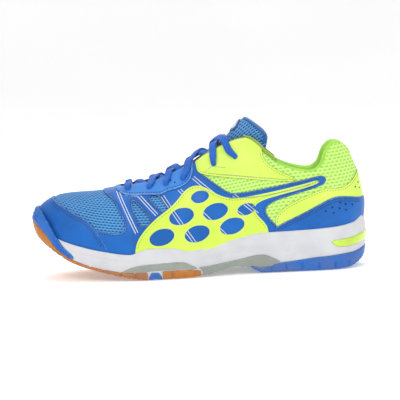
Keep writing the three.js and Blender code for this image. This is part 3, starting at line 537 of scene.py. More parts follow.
def roll_share(d, radius):
    """How far a rolled edge has risen at a distance from the cut."""
    return np.sqrt(1 - (1 - np.clip(d / radius, 0, 1)) ** 2)


def rolled(thickness, radius=1.3, base=0.0, edge=0.5):
    """A skin's top, with its edge rolled down."""
    return lambda d, flow, p: base + thickness * (edge + (1 - edge) * roll_share(d, radius))


def finished(obj, look, nodes=(), body="shoe"):
    """Gives a piece its material and its body, and hides the CAD nodes that it stands for."""
    material, slot = look
    obj.data.materials.append(material)
    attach(obj, body)
    if nodes:
        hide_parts(*nodes)
    return obj


def skin(name, chart, spans, count, tests, heights, look, nodes=(), body="shoe", sharp=38):
    """A piece that is cut from a chart and given its thickness and its look."""
    sheet = cut_sheet(chart, *spans, count, *tests)
    return finished(shell(name, chart, sheet, heights, sharp), look, nodes, body)


# ---------------------------------------------------------------- points and paths on the upper

def on_upper(side, x, z, lift=0.0):
    """The point of the upper's surface at a place in the side view, and the surface's direction there."""
    x, z = np.asarray(x, float), np.asarray(z, float)
    straight = x + smooth((station_of(x) - LEAN_START) / (100 - LEAN_START)) * lean_at(z)
    s = np.clip((straight - toe_x - UPPER_TOE_INSET) / upper_length, 0, 1) * 100
    low = seat(station_of(straight))
    rise = np.clip((z - low) / (ridge(s) - low), 0, 1)
    angle = np.arcsin(rise ** (fullness(s) / 2))
    u = end_angle(s)
    u = np.where(side == LATERAL, u, FULL_TURN - u)
    place = around(u, angle)
    normal = normals_of(around, u, np.minimum(angle, QUARTER - 0.01))
    return place + normal * lift, normal


def on_top(side, station, across, lift):
    """The point of the upper near its top over a place in the plan, and the surface's direction there."""
    station = np.asarray(station, float)
    out = across * side_share(side, station)

    def height(s, q):
        n = fullness(s)
        share = np.clip(q / half_width(side, s, UPPER_SIDE_INSET), 0, 1)
        return mix(seat(s), ridge(s), (1 - share ** n) ** (1 / n))

    step = 0.5
    along = (height(station + step, out) - height(station - step, out)) / (2 * step * length / 100)
    climb = height(station, out + step) - height(station, np.maximum(0, out - step))
    sideways = climb / (step + np.minimum(step, out))
    normal = unit(np.stack([-along, -side * sideways, np.ones_like(along)], -1))
    place = points_of(upper_x(station), centre_at(station) + side * out + y_shift, height(station, out))
    return place + normal * np.asarray(lift)[..., None], normal


def curve_points(points, per=10):
    """A smooth line through points (centripetal Catmull-Rom)."""
    p = np.asarray(points, float)
    p = np.concatenate([[2 * p[0] - p[1]], p, [2 * p[-1] - p[-2]]])
    made = []
    for a, b, c, d in zip(p, p[1:], p[2:], p[3:]):
        gaps = [max(np.linalg.norm((f - e)[:3]), 1e-4) for e, f in ((a, b), (b, c), (c, d))]
        t1, t2, t3 = np.cumsum(np.sqrt(gaps))
        for t in np.linspace(t1, t2, per, endpoint=False):
            a1 = (t1 - t) / t1 * a + t / t1 * b
            a2 = (t2 - t) / (t2 - t1) * b + (t - t1) / (t2 - t1) * c
            a3 = (t3 - t) / (t3 - t2) * c + (t - t2) / (t3 - t2) * d
            b1 = (t2 - t) / t2 * a1 + t / t2 * a2
            b2 = (t3 - t) / (t3 - t1) * a2 + (t - t1) / (t3 - t1) * a3
            made.append((t2 - t) / (t2 - t1) * b1 + (t - t1) / (t2 - t1) * b2)
    made.append(p[-2])
    return np.array(made)


def even_steps(points, pitch):
    """The same line in steps of one length."""
    run = run_along(points[:, :3])
    count = max(2, int(round(run[-1] / pitch)) + 1)
    at = np.linspace(0, run[-1], count)
    return np.stack([np.interp(at, run, points[:, k]) for k in range(points.shape[1])], -1)


def side_path(side, rows, lift=0.0, pitch=1.2, smooth_rows=True):
    """A line on the upper through [station, height] rows, as points and surface directions."""
    flat = np.array([(x_at(s), z) for s, z in rows], float)
    flat = curve_points(flat, 12) if smooth_rows and len(flat) > 2 else flat
    flat = even_steps(flat, 0.5)
    place, normal = on_upper(side, flat[:, 0], flat[:, 1], lift)
    return even_steps(np.concatenate([place, normal], 1), pitch)


def tube(p, across, up, section, flow_round=8):
    """A closed tube along a path: section(i, run) gives the (across, up) points round each of its places."""
    run = run_along(p)
    rings = [section(i, run) for i in range(len(p))]
    size = len(rings[0])
    verts = [p[i] + across[i] * a + up[i] * b for i, ring in enumerate(rings) for a, b in ring]
    flow = [(at, j / size * flow_round, 2.0) for at in run for j in range(size)]
    faces = []
    for i in range(len(p) - 1):
        for j in range(size):
            a, b = i * size + j, i * size + (j + 1) % size
            faces.append([a, b, b + size, a + size])
    faces.append(list(range(size - 1, -1, -1)))
    faces.append([(len(p) - 1) * size + j for j in range(size)])
    return verts, faces, flow


def swept(path, section):
    """A tube along a path of points and surface directions."""
    p = path[:, :3]
    tangent = unit(np.gradient(p, axis=0))
    across = unit(np.cross(path[:, 3:6], tangent))
    return tube(p, across, np.cross(tangent, across), section)


def ring_solid(rings, first, last):
    """Rings of points, closed by a point at each end."""
    sides = len(rings[0])
    verts = [first, *[p for ring in rings for p in ring], last]
    end = len(verts) - 1
    faces = []
    for k in range(sides):
        n = (k + 1) % sides
        faces += [[0, 1 + n, 1 + k], [end, end - sides + k, end - sides + n]]
        for base in range(1, end - sides, sides):
            faces.append([base + k, base + n, base + sides + n, base + sides + k])
    return verts, faces, [(0.0, 0.0, 2.0)] * len(verts)


def oval(width, height, sides=8, power=1.0):
    """A flattened ring of (across, up) points. A power under 1 squares it off."""
    def reach(value):
        return np.sign(value) * abs(value) ** power

    turns = np.arange(sides) / sides * 2 * math.pi + math.pi / sides
    return [(width / 2 * reach(np.cos(t)), height / 2 * reach(np.sin(t))) for t in turns]


def joined(name, parts):
    """Several lists of (verts, faces, flow) as one piece."""
    verts, faces, flow = [], [], []
    for v, f, fl in parts:
        start = len(verts)
        verts += list(v)
        flow += list(fl)
        faces += [[i + start for i in face] for face in f]
    return tidy_mesh(new_mesh(name, verts, faces, flow), 0.002)


# ---------------------------------------------------------------- shader tools and shared groups

def linear(code, alpha=1.0):
    """An sRGB hex colour as linear values."""
    parts = [int(code[i:i + 2], 16) / 255 for i in (0, 2, 4)]
    return tuple(c / 12.92 if c <= 0.04045 else ((c + 0.055) / 1.055) ** 2.4 for c in parts) + (alpha,)


class Nodes:
    """Short ways to add shader nodes to one tree."""

    def __init__(self, tree):
        self.tree = tree

    def add(self, kind, inputs=None, **props):
        made = self.tree.nodes.new(kind)
        for key, value in props.items():
            setattr(made, key, value)
        for key, value in (inputs or {}).items():
            self.set(made.inputs[key], value)
        return made

    def set(self, socket, value):
        if isinstance(value, bpy.types.NodeSocket):
            self.tree.links.new(value, socket)
        else:
            socket.default_value = value

    def math(self, operation, a, b=0.0):
        return self.add("ShaderNodeMath", {0: a, 1: b}, operation=operation).outputs[0]

    def times(self, a, b):
        return self.math("MULTIPLY", a, b)

    def plus(self, a, b):
        return self.math("ADD", a, b)

    def ramp(self, value, low, high, to_low=0.0, to_high=1.0):
        return self.add("ShaderNodeMapRange", {
            "Value": value, "From Min": low, "From Max": high, "To Min": to_low, "To Max": to_high},
            interpolation_type="SMOOTHSTEP").outputs["Result"]

    def noise(self, vector, scale, detail=3.0):
        return self.add("ShaderNodeTexNoise", {
            "Vector": vector, "Scale": scale, "Detail": detail}).outputs["Fac"]

    def flow(self):
        """Along the piece, up it, and the distance in from its cut edge, in millimetres."""
        return self.add("ShaderNodeAttribute", attribute_name="flow").outputs["Vector"]

    def split(self, vector):
        return self.add("ShaderNodeSeparateXYZ", {0: vector}).outputs

    def place(self):
        return self.add("ShaderNodeTexCoord").outputs["Object"]

    def mix(self, factor, a, b):
        """A mix of two colours, given as sockets or as hex codes."""
        made = self.add("ShaderNodeMix", data_type="RGBA")
        for at, value in ((0, factor), (6, a), (7, b)):
            self.set(made.inputs[at], linear(value) if isinstance(value, str) else value)
        return made.outputs[2]


def new_group(name, inputs, outputs):
    """A shader group with named number sockets: inputs with their defaults, and outputs."""
    tree = bpy.data.node_groups.new(name, "ShaderNodeTree")
    kind = "NodeSocketFloat"
    for label, default in inputs.items():
        tree.interface.new_socket(label, in_out="INPUT", socket_type=kind).default_value = default
    for label in outputs:
        tree.interface.new_socket(label, in_out="OUTPUT", socket_type=kind)
    nodes = Nodes(tree)
    return tree, nodes, nodes.add("NodeGroupInput").outputs, nodes.add("NodeGroupOutput").inputs


def make_grain_group():
    """Fine leather-like grain and slow patches of shade, in millimetre scale."""
    tree, g, given, out = new_group(
        "surface_grain", {"Grain Size": 0.8, "Patch Size": 22.0}, ["Height", "Patches"])
    mm = g.add("ShaderNodeVectorMath", {0: g.place(), "Scale": 1000.0}, operation="SCALE").outputs[0]
    fine = g.math("DIVIDE", 1.0, given["Grain Size"])
    cells = g.add("ShaderNodeTexVoronoi", {"Vector": mm, "Scale": fine}, feature="F1").outputs["Distance"]
    g.set(out["Height"], g.plus(g.times(cells, 0.6), g.noise(mm, g.times(fine, 0.45), 4.0)))
    patch = g.noise(mm, g.math("DIVIDE", 1.0, given["Patch Size"]))
    g.set(out["Patches"], g.ramp(patch, 0.3, 0.7))
    return tree


def make_edge_group():
    """Masks along a piece's cut edge: the bare cut, and the wear just inside it, broken up by noise."""
    tree, g, given, out = new_group("edge_wear", {"Cut Width": 0.35, "Wear Width": 1.6}, ["Cut", "Wear"])
    flow = g.flow()
    depth = g.split(flow)["Z"]
    g.set(out["Cut"], g.ramp(depth, 0.0, given["Cut Width"], 1.0, 0.0))
    band = g.ramp(depth, 0.0, given["Wear Width"], 1.0, 0.0)
    g.set(out["Wear"], g.times(band, g.ramp(g.noise(flow, 0.35), 0.35, 0.7)))
    return tree


def make_cell_group():
    """An open mesh in brick rows: its holes, for painted shade, the lower rim of each, for a painted
    highlight, and the height of the yarn.
    """
    tree, g, given, out = new_group(
        "open_mesh", {"Along": 3.3, "Up": 2.5, "Hole": 0.38}, ["Holes", "Rim Highlights", "Height", "Yarn"])
    flow = g.flow()
    xyz = g.split(flow)
    row = g.math("DIVIDE", xyz["Y"], given["Up"])
    odd = g.times(g.math("MODULO", g.math("FLOOR", row), 2.0), 0.5)
    column = g.plus(g.math("DIVIDE", xyz["X"], given["Along"]), odd)
    across = g.math("SUBTRACT", g.math("FRACT", column), 0.5)
    rise = g.math("SUBTRACT", g.math("FRACT", row), 0.5)
    far = g.math("SQRT", g.plus(g.math("POWER", g.times(across, 0.92), 2.0), g.math("POWER", rise, 2.0)))
    hole = g.ramp(far, g.times(given["Hole"], 0.72), given["Hole"], 1.0, 0.0)
    ring = g.ramp(far, given["Hole"], g.plus(given["Hole"], 0.1), 1.0, 0.0)
    yarn = g.noise(flow, 1.6)
    # The holes: the mask of painted shade in the colour, and the dips of the relief.
    g.set(out["Holes"], hole)
    # The lower part of each hole's rim: where a highlight is painted.
    g.set(out["Rim Highlights"], g.times(ring, g.ramp(rise, -0.12, -0.34)))
    g.set(out["Yarn"], yarn)
    g.set(out["Height"], g.plus(g.times(hole, -1.0), g.times(yarn, 0.35)))
    return tree


def make_knit_group():
    """A fine knit or braid of slanted yarns along a piece's own length."""
    tree, g, given, out = new_group("fine_knit", {"Pitch": 1.2, "Slant": 1.0}, ["Height", "Gap Shade"])
    xyz = g.split(g.flow())
    turn = g.math("DIVIDE", FULL_TURN, given["Pitch"])
    lean = g.times(xyz["Y"], given["Slant"])
    yarns = [g.math("SINE", g.times(g.math(way, xyz["X"], lean), turn)) for way in ("ADD", "SUBTRACT")]
    height = g.math("MAXIMUM", *yarns)
    g.set(out["Height"], g.ramp(height, -0.8, 1.0))
    # The gaps between the yarns: where shade is painted.
    g.set(out["Gap Shade"], g.ramp(height, 0.1, -0.6))
    return tree


grain_group = make_grain_group()
edge_group = make_edge_group()
cell_group = make_cell_group()
knit_group = make_knit_group()


WHITE, BLACK, LOW_DARK = (1, 1, 1, 1), (0, 0, 0, 1), "8F8A80"


class Look(Nodes):
    """One material: a principled shader, the shared groups that feed it, and short ways to set it."""

    def __init__(self, name, roughness=0.5, sheen=0.0, coat=0.0, specular=0.3):
        self.material = bpy.data.materials.new(name)
        self.material.use_nodes = True
        self.material.node_tree.nodes.clear()
        super().__init__(self.material.node_tree)
        self.shader = self.add("ShaderNodeBsdfPrincipled", {
            "Roughness": roughness, "Sheen Weight": sheen, "Coat Weight": coat,
            "Specular IOR Level": specular})
        self.add("ShaderNodeOutputMaterial", {"Surface": self.shader.outputs[0]})

    def use(self, tree, **inputs):
        made = self.add("ShaderNodeGroup", node_tree=tree)
        for key, value in inputs.items():
            self.set(made.inputs[key.replace("_", " ").title()], value)
        return made.outputs

    def give(self, **inputs):
        for key, value in inputs.items():
            self.set(self.shader.inputs[key.replace("_", " ").title()], value)

    def bump(self, height, strength, distance):
        """Relief of a distance in metres."""
        made = self.add("ShaderNodeBump", {"Height": height, "Strength": strength, "Distance": distance})
        self.give(normal=made.outputs[0])
        return self.material


def synthetic(name, colour, deep, edge, roughness=0.4, grain_size=0.55):
    """Coated synthetic leather: fine grain, slow shade patches, a darker cut edge and lighter wear."""
    g = Look(name, sheen=0.05)
    grain = g.use(grain_group, grain_size=grain_size, patch_size=26.0)
    rim = g.use(edge_group, cut_width=0.45, wear_width=1.8)
    base = g.mix(grain["Patches"], colour, deep)
    worn = g.mix(g.times(rim["Wear"], 0.35), base, g.mix(0.45, colour, WHITE))
    g.give(base_color=g.mix(rim["Cut"], worn, edge),
           roughness=g.plus(roughness, g.times(grain["Patches"], 0.1)))
    return g.bump(grain["Height"], 0.12, 0.00018)


def open_mesh(name, yarn, hole, light, along=3.3, up=2.5, size=0.38):
    """Open sandwich mesh: painted shade in the holes, a painted highlight on the rim under each one and fuzzy
    yarn between.
    """
    g = Look(name, roughness=0.85, sheen=0.25)
    cells = g.use(cell_group, along=along, up=up, hole=size)
    grain = g.use(grain_group, grain_size=0.5, patch_size=30.0)
    base = g.mix(g.ramp(cells["Yarn"], 0.3, 0.7), yarn, g.mix(0.3, yarn, light))
    base = g.mix(g.times(grain["Patches"], 0.25), base, hole)
    # Painted shade: the holes take the darker hole colour.
    base = g.mix(cells["Holes"], base, hole)
    # Painted highlight: the lower rim of each hole takes the light colour.
    g.give(base_color=g.mix(g.times(cells["Rim Highlights"], 0.85), base, light))
    return g.bump(cells["Height"], 0.8, 0.0005)


def knit(name, colour, gap, pitch=1.3, slant=1.0, roughness=0.9, bump=0.6, sheen=0.3):
    """A close knit or braid, with painted shade in the gaps between its yarns."""
    g = Look(name, roughness=roughness, sheen=sheen)
    yarn = g.use(knit_group, pitch=pitch, slant=slant)
    grain = g.use(grain_group, grain_size=0.4, patch_size=18.0)
    # Darker random tone in patches, in the gap colour.
    base = g.mix(g.times(grain["Patches"], 0.35), colour, gap)
    # Painted shade: the gaps between the yarns take the gap colour.
    g.give(base_color=g.mix(g.times(yarn["Gap Shade"], 0.6), base, gap))
    return g.bump(g.plus(yarn["Height"], g.times(grain["Height"], 0.3)), bump, 0.0003)


def moulded(name, colour, deep, roughness=0.5, grain_size=0.35, bump=0.15, scuff=0.3, low_darkening=0.0, coat=0.0,
            subsurface=0.0):
    """Moulded rubber, foam or plastic: fine texture, scuffs along edges, and patchy darkening towards the
    floor.
    """
    g = Look(name, coat=coat)
    g.give(subsurface_weight=subsurface, subsurface_scale=0.004)
    grain = g.use(grain_group, grain_size=grain_size, patch_size=20.0)
    rim = g.use(edge_group, cut_width=0.3, wear_width=1.4)
    # Patchy darkening towards the floor, within 22 mm of it, in a grey-brown.
    near_floor = g.ramp(g.split(g.place())["Z"], 0.0, 0.022, 1.0, 0.0)
    low_dark = g.times(near_floor, g.times(grain["Patches"], low_darkening))
    base = g.mix(grain["Patches"], colour, deep)
    base = g.mix(g.times(rim["Wear"], scuff), base, g.mix(0.3, colour, WHITE))
    base = g.mix(g.times(rim["Cut"], 0.55), base, g.mix(0.6, deep, BLACK))
    g.give(base_color=g.mix(low_dark, base, LOW_DARK),
           roughness=g.plus(roughness, g.times(grain["Patches"], 0.12)))
    return g.bump(grain["Height"], bump, 0.0002)


blue_skin = synthetic("blue_synthetic", "0A63B8", "0757A6", "06254F", roughness=0.4)
# A lighter copy of the blue synthetic for the eyestays, which are the same blue as the other overlays: a
# painted highlight.
lit_blue_skin = synthetic("light_blue_synthetic", "3580D0", "2C76C6", "0A2C5C", roughness=0.42)
yellow_skin = synthetic("yellow_synthetic", "D2EE66", "C6E458", "7F9C2C", roughness=0.42)
panel_skin = synthetic("yellow_panel", "D0EC58", "C6E44E", "9CA5A0", roughness=0.36, grain_size=0.4)
# Each mesh's second colour is painted shade in its holes, and its third a painted highlight on the rim under
# each hole, also mixed into the yarn.
blue_cloth = open_mesh("blue_mesh", "2480C6", "0E4E94", "8CCBE2")
yellow_cloth = open_mesh("yellow_mesh", "C2EE6A", "98D250", "E6FBB0", along=4.0, up=3.0, size=0.36)
tongue_cloth = open_mesh("tongue_mesh", "2A7CBE", "0F4A84", "92C4DA", along=3.6, up=2.8)
# Each knit's second colour is the painted shade between its yarns, also used for darker patches.
lining_knit = knit("green_lining", "A8E24C", "80BC38", pitch=1.5)
blue_knit = knit("blue_binding", "1A66AE", "0C4480", pitch=1.1)
sock_knit = knit("sockliner_cloth", "3E7CCB", "235C9F", pitch=1.6)
lace_braid = knit("lace_braid", "0E63C4", "083E88", pitch=1.5, slant=0.8, roughness=0.62, bump=0.55,
                  sheen=0.15)
foam_white = moulded("midsole_foam", "CDCDD0", "C5C5CA", roughness=0.48, grain_size=0.5, bump=0.06,
                     low_darkening=0.25, scuff=0.1)
blue_rubber = moulded("blue_rubber", "1A66BC", "155AAC", roughness=0.45, low_darkening=0.3)
gum = moulded("gum_rubber", "B9752F", "A86425", roughness=0.42, low_darkening=0.25, subsurface=0.15)
grey_plastic = moulded("grey_plastic", "949A93", "888E87", roughness=0.36, bump=0.05)
gel = moulded("clear_gel", "C4E246", "B2D234", roughness=0.12, bump=0.03, scuff=0.1, coat=0.9,
              subsurface=0.35)
silver_print = moulded("silver_print", "D5D9E0", "C3C8D2", roughness=0.3, bump=0.03, scuff=0.2)
grey_print = moulded("grey_print", "9DA893", "8E9A84", roughness=0.4, bump=0.03)
label_print = moulded("label_face", "D9DEE6", "C4CCD8", roughness=0.35, bump=0.05)
blue_thread = knit("blue_thread", "0A2858", "051636", pitch=0.6)
yellow_thread = knit("yellow_thread", "9DB53A", "768C28", pitch=0.6)
# Dark discs for the perforations and lace holes: painted shade of the holes' insides.
hole_shade_paint = moulded("hole_shade_paint", "16202C", "0E151E", roughness=0.8, scuff=0.0)
stiff_board = moulded("stiffener_board", "3A3F45", "30353B", roughness=0.6)
plain_board = knit("lasting_board", "D8D8D2", "B8B8B0", pitch=1.0)
tip_plastic = moulded("lace_tip_plastic", "2A6BD0", "1F57B4", roughness=0.2, coat=0.4)

# ---------------------------------------------------------------- helpers of the pieces

def station_span(first, last):
    return float(end_angle(first)), float(end_angle(last))


def wrap_span(first):
    """From a station on the lateral side round the heel to the same station on the medial side."""
    start = float(end_angle(first))
    return start, FULL_TURN - start


def cell_height(flow, along, up, size, depth):
    """The open mesh in relief: holes sink, and the yarn between them stays up."""
    row = flow[:, 1] / up
    across = np.mod(flow[:, 0] / along + 0.5 * np.mod(np.floor(row), 2), 1) - 0.5
    rise = np.mod(row, 1) - 0.5
    far = np.hypot(across * 0.92, rise)
    return -depth * smooth((size - far) / (size * 0.45))


def groove(distance, width, depth):
    return -depth * np.exp(-(distance / width) ** 2)


# ---------------------------------------------------------------- upper: cloth

MESH_ALONG, MESH_UP, MESH_HOLE = 3.3, 2.5, 0.38
HEEL_MESH_ALONG, HEEL_MESH_UP, HEEL_MESH_HOLE = 4.0, 3.0, 0.36
MESH_END = 48.0

OVER_TOP = (0, math.pi)

BLUE = blue_skin, "blue_synthetic"
LIT_BLUE = lit_blue_skin, "light_blue_synthetic"
YELLOW = yellow_skin, "yellow_synthetic"
LINING = lining_knit, "green_lining"
BLUE_RUBBER = blue_rubber, "blue_rubber"
GREY_PLASTIC = grey_plastic, "grey_plastic"

skin("vamp_mesh_cloth", over, (station_span(0.3, MESH_END + 1), OVER_TOP), (210, 250),
     [over_bite, outside_throat, before(MESH_END)],
     (lambda d, flow, p: cell_height(flow, MESH_ALONG, MESH_UP, MESH_HOLE, 0.4), -1.2),
     (blue_cloth, "blue_mesh"), ["vamp_mesh"], sharp=None)
skin("quarter_mesh_cloth", around, (wrap_span(MESH_END - 1), (0, QUARTER)), (400, 120),
     [over_bite, outside_throat, lambda p: under_collar(p, 2.0), behind(MESH_END, 0.3)],
     (lambda d, flow, p: cell_height(flow, HEEL_MESH_ALONG, HEEL_MESH_UP, HEEL_MESH_HOLE, 0.45), -1.1),
     (yellow_cloth, "yellow_mesh"), ["quarter_lateral", "quarter_medial"], sharp=None)

# ---------------------------------------------------------------- upper: synthetic overlays

cap_rows = [
    (-8, 12, 1), (-8, 110, 1), (6.3, 110, 1), (6.35, 76), (6.7, 72), (8.1, 68), (12.6, 60.4), (16.4, 54.9),
    (18.2, 50.2), (19.6, 45.4), (21, 38.9), (22.5, 31.4), (23.5, 26), (24.2, 12, 1)]
cap_outline = side_outline(cap_rows, 2)
skin("toe_cap_skin", over, (station_span(0.2, 26), OVER_TOP), (110, 190), [over_bite, within(cap_outline)],
     (rolled(1.5, 1.6), 0.0), BLUE, ["toe_cap"])

wrap_rows = [
    (21.3, 140, 1), (21.35, 80), (21.9, 75.8), (23.6, 72.4), (25, 69.4), (26, 64.5), (26.9, 58.5), (28, 52.5),
    (28.5, 47), (28.1, 43.4), (27, 41.5), (25, 41.3), (22.8, 42.6), (20.4, 44), (17.6, 43), (18.6, 30),
    (20, 12, 1), (75.5, 12, 1), (75.5, 35), (73, 41), (71, 47), (69.8, 53), (70, 58), (72, 62), (75.4, 65.3),
    (81.2, 70), (86.8, 74.6), (88.2, 78.8), (87.6, 82.6), (86.2, 83.6), (81.2, 80.3), (75, 76.8), (69, 73.8),
    (63.3, 71.6), (60, 71.5), (58.2, 74), (55.3, 80.8), (52.4, 87.5), (50, 93), (49.2, 140, 1)]
window_rows = [
    [(30.3, 70.5), (33, 62.6), (36.3, 52), (34.6, 46.6), (33, 46.4), (31.4, 56)],
    [(35.2, 71.8), (38.6, 71.6), (40, 66), (41.3, 60.2), (39.6, 57.8), (37.6, 63.6)]]
wrap_outline = side_outline(wrap_rows, 3)
window_outlines = [side_outline(rows, 3) for rows in window_rows]


skin("side_wrap", over, (station_span(16, 90), OVER_TOP), (260, 210),
     [over_bite, outside_throat, within(wrap_outline), clear_of(*window_outlines)],
     (rolled(1.1, 1.3), -0.1), BLUE)

eyestay_outline = side_outline([
    (25.0, 140, 1), (25.0, 80), (26.4, 75.4), (28.6, 72.2), (31.5, 71.6), (34.6, 72.2), (39.2, 71.4),
    (41.3, 75), (44.7, 77), (47.8, 81.8), (49.4, 91), (49.4, 140, 1)], 3)
flap_outline = side_outline([
    (49.5, 160, 1), (49.5, 92.4), (51.2, 89), (54.6, 87), (60, 85), (68, 82), (75, 79.6), (79.6, 79.4),
    (78.4, 83), (75, 87.6), (71.6, 94), (70, 100), (69.4, 106), (69.4, 160, 1)], 3)
panel_outline = side_outline([
    (30.8, 12, 1), (31.2, 31), (33.6, 42), (37.2, 52), (41.4, 60.2), (43.8, 66.5), (45.8, 73.6), (47.8, 78),
    (50.2, 79.6), (52.8, 77), (55.2, 72), (58.4, 67.8), (62.6, 67.2), (69, 69.6), (75, 72.8), (81.2, 76.6),
    (85.2, 79.6), (86.4, 79.2), (85.6, 76.4), (80.6, 72.2), (75, 68.4), (69.6, 64.6), (66.8, 60.6),
    (66.4, 55.6), (67.6, 50), (69.4, 44.5), (70.6, 38), (70.6, 12, 1)], 3)


HEX_WIDTH, HEX_HEIGHT, HEX_LEAN, HEX_SMALL = 24.0, 16.5, 0.35, 0.72
hexagon_turns = math.pi / 3 * np.arange(6)
hex_places = [(-33, 36.5), (-2, 38), (29, 43), (-15, 53.5), (15, 56.5), (42, 57), (2, 69.5)]


def hexagon(x, z):
    """A six-sided window, as an outline in the side view. The top and rear ones are smaller."""
    size = HEX_SMALL if z > 60 or x > 35 else 1
    rise = HEX_HEIGHT * size / 2 * np.sin(hexagon_turns)
    reach = HEX_WIDTH * size / 2 * np.cos(hexagon_turns)
    return side_outline(np.stack([station_of(x + reach + HEX_LEAN * rise), z + rise], -1), 2)


hex_outlines = [hexagon(x, z) for x, z in hex_places]

for side, label in SIDE_NAME.items():
    half = (0, QUARTER) if side == LATERAL else (QUARTER, math.pi)
    # The eyestays take the lighter copy of the blue synthetic: a painted highlight.
    skin("eyestay_skin_" + label, over, (station_span(24, 51), half), (110, 110),
         [outside_throat, within(eyestay_outline), on_side(side)],
         (rolled(0.9, 1.2, 1.0), 0.4), LIT_BLUE, ["eyestay_" + label])
    skin("collar_flap_skin_" + label, over, (station_span(48, 82), half), (110, 120),
         [outside_throat, lambda p: under_collar(p, 0.8), within(flap_outline), on_side(side)],
         (rolled(1.3, 1.3), -0.2), YELLOW, ["collar_flap_" + label])
    skin("side_panel_skin_" + label, over, (station_span(28, 90), half), (210, 110),
         [over_bite, within(panel_outline), clear_of(*hex_outlines), on_side(side)],
         (rolled(1.2, 1.3, 1.0, 0.4), 0.9), (panel_skin, "yellow_synthetic"), ["side_panel_" + label])

backstay_outline = side_outline([
    (106, 89, 1), (98.4, 88), (97.2, 82), (95.6, 76.4), (93.4, 72), (90.6, 71), (88.4, 72), (86, 70.4),
    (82, 66), (78, 61), (75, 56), (73, 50.5), (72.4, 45), (73, 36, 1), (106, 36, 1)], 3)
heel_outline = side_outline([
    (71.5, 12, 1), (71.8, 38), (74.5, 42.9), (77.6, 46.8), (80.7, 50.9), (83.8, 55.4), (86.3, 59.2),
    (88.6, 62.4), (91, 64.4), (94.5, 63.6), (97.5, 61.6), (106, 60.6, 1), (106, 12, 1)], 3)
skin("heel_backstay_skin", around, (wrap_span(70), (0, QUARTER * 0.8)), (230, 110),
     [over_bite, within(backstay_outline)], (rolled(0.9, 1.2), -0.1), YELLOW, ["heel_backstay"])
skin("heel_overlay_skin", around, (wrap_span(70), (0, QUARTER * 0.6)), (230, 90),
     [over_bite, within(heel_outline)], (rolled(1.0, 1.4, 0.8), 0.2), BLUE, ["heel_overlay"])

# ---------------------------------------------------------------- padded collar and linings

COLLAR_FOAM = 6.5
COUNTER_DEPTH = 3.3
COLLAR_ROLL = 7.5


def foam_share(p):
    return smooth((p[..., 2] - 54) / 20) * smooth((station_of(p[..., 0]) - 68) / 9)


def collar_inner(p):
    return -(COUNTER_DEPTH + 1.2 + COLLAR_FOAM * foam_share(p))


def collar_middle(p):
    return mix(0.75, collar_inner(p), 0.5)


def collar_top(d, flow, p):
    outer = mix(0.3, -1.4, smooth((d - 1.6) / 1.6))
    return collar_middle(p) + (outer - collar_middle(p)) * roll_share(d, COLLAR_ROLL * 0.75)


def collar_low(d, flow, p):
    swell = 0.8 * foam_share(p) * np.sin(np.clip(d / 34, 0, 1) * math.pi)
    return collar_middle(p) + (collar_inner(p) - swell - collar_middle(p)) * roll_share(d, COLLAR_ROLL)


def over_collar_foot(p):
    """Above the lower edge of the padding, which climbs towards the throat."""
    return p[..., 2] - 50 - 12 * smooth((72 - station_of(p[..., 0])) / 8)


collar_pad = skin(
    "collar_pad", around, (wrap_span(61), (0.25, QUARTER)), (330, 90),
    [under_collar, outside_throat, over_collar_foot, behind(62.6)],
    (collar_top, collar_low), LINING, ["collar_foam", "collar_lining"], sharp=None)
skin("heel_lining_cloth", around, (wrap_span(62.8), (0.05, QUARTER * 0.75)), (200, 50),
     [lambda p: over_bite(p, 2), lambda p: 56 - p[..., 2], behind(63)],
     (-COUNTER_DEPTH - 0.4, -COUNTER_DEPTH - 1.2), LINING, sharp=None)
skin("vamp_lining_cloth", over, (station_span(2, 63.5), (0.05, math.pi - 0.05)), (150, 130),
     [lambda p: over_bite(p, 2), lambda p: outside_throat(p, 13.5), before(63)],
     (-1.8, -2.6), LINING, ["vamp_lining"], sharp=None)

BED_INSET, BED_HEIGHT = 5.6, 6.9


def footbed(u, q):
    """The insole's top, from its edge (0) to its middle (1)."""
    side, s = side_and_station(u)
    x = upper_x(s, BED_INSET)
    rim = 1 - np.clip(q, 0, 1)
    cup = 2.2 * rim ** 5
    arch = np.where(side == MEDIAL, 4.0, 1.0) * np.exp(-((s - 55) / 12) ** 2) * rim ** 2
    return points_of(x, across_at(side, s, UPPER_SIDE_INSET + BED_INSET, 1 - q),
                     seat(station_of(x)) + BED_HEIGHT + cup + arch)


sockliner_pad = skin(
    "sockliner_pad", footbed, ((0, FULL_TURN), (0, 1)), (220, 24), [lambda p: np.full(p.shape[:-1], 5.0)],
    (0.0, -3.6), (sock_knit, "blue_mesh"), ["sockliner"], sharp=50)

# ---------------------------------------------------------------- tongue

TONGUE_LIFT = 4.5  # how far the top of the tongue stands off the line of the instep
TONGUE_SPANS = station_span(24, 73), (0.7, math.pi - 0.7)
TONGUE_FOLD = 6
tongue_side = side_outline([
    (24.2, 40, 1), (71.4, 60, 1), (71.9, 98), (71.9, 112), (71.5, 121), (69.6, 128), (66.8, 134.6),
    (64.4, 139.4), (62.4, 142.4), (60.6, 144.6), (58, 160, 1), (24.2, 160, 1)], 2)


def tongue_plan():
    stations = np.array([24.4, 25.4, 27.0, 30, 34, 40, 48, 54, 58, 60, 62, 64, 66, 68, 69.6, 70.8, 71.8, 76])
    half = np.minimum(throat_gap(stations) + 13, mix(30, 26, smooth((stations - 56) / 8)))
    half[0] = 9
    half[-5:] -= [0, 0.8, 2.6, 6.5, 10]
    return plan_ring(stations, half)


def in_tongue_plan(p):
    x, y = plan_of(p)
    return np.where(p[..., 2] > 40, inside_by(tongue_plan(), x, y), -1)


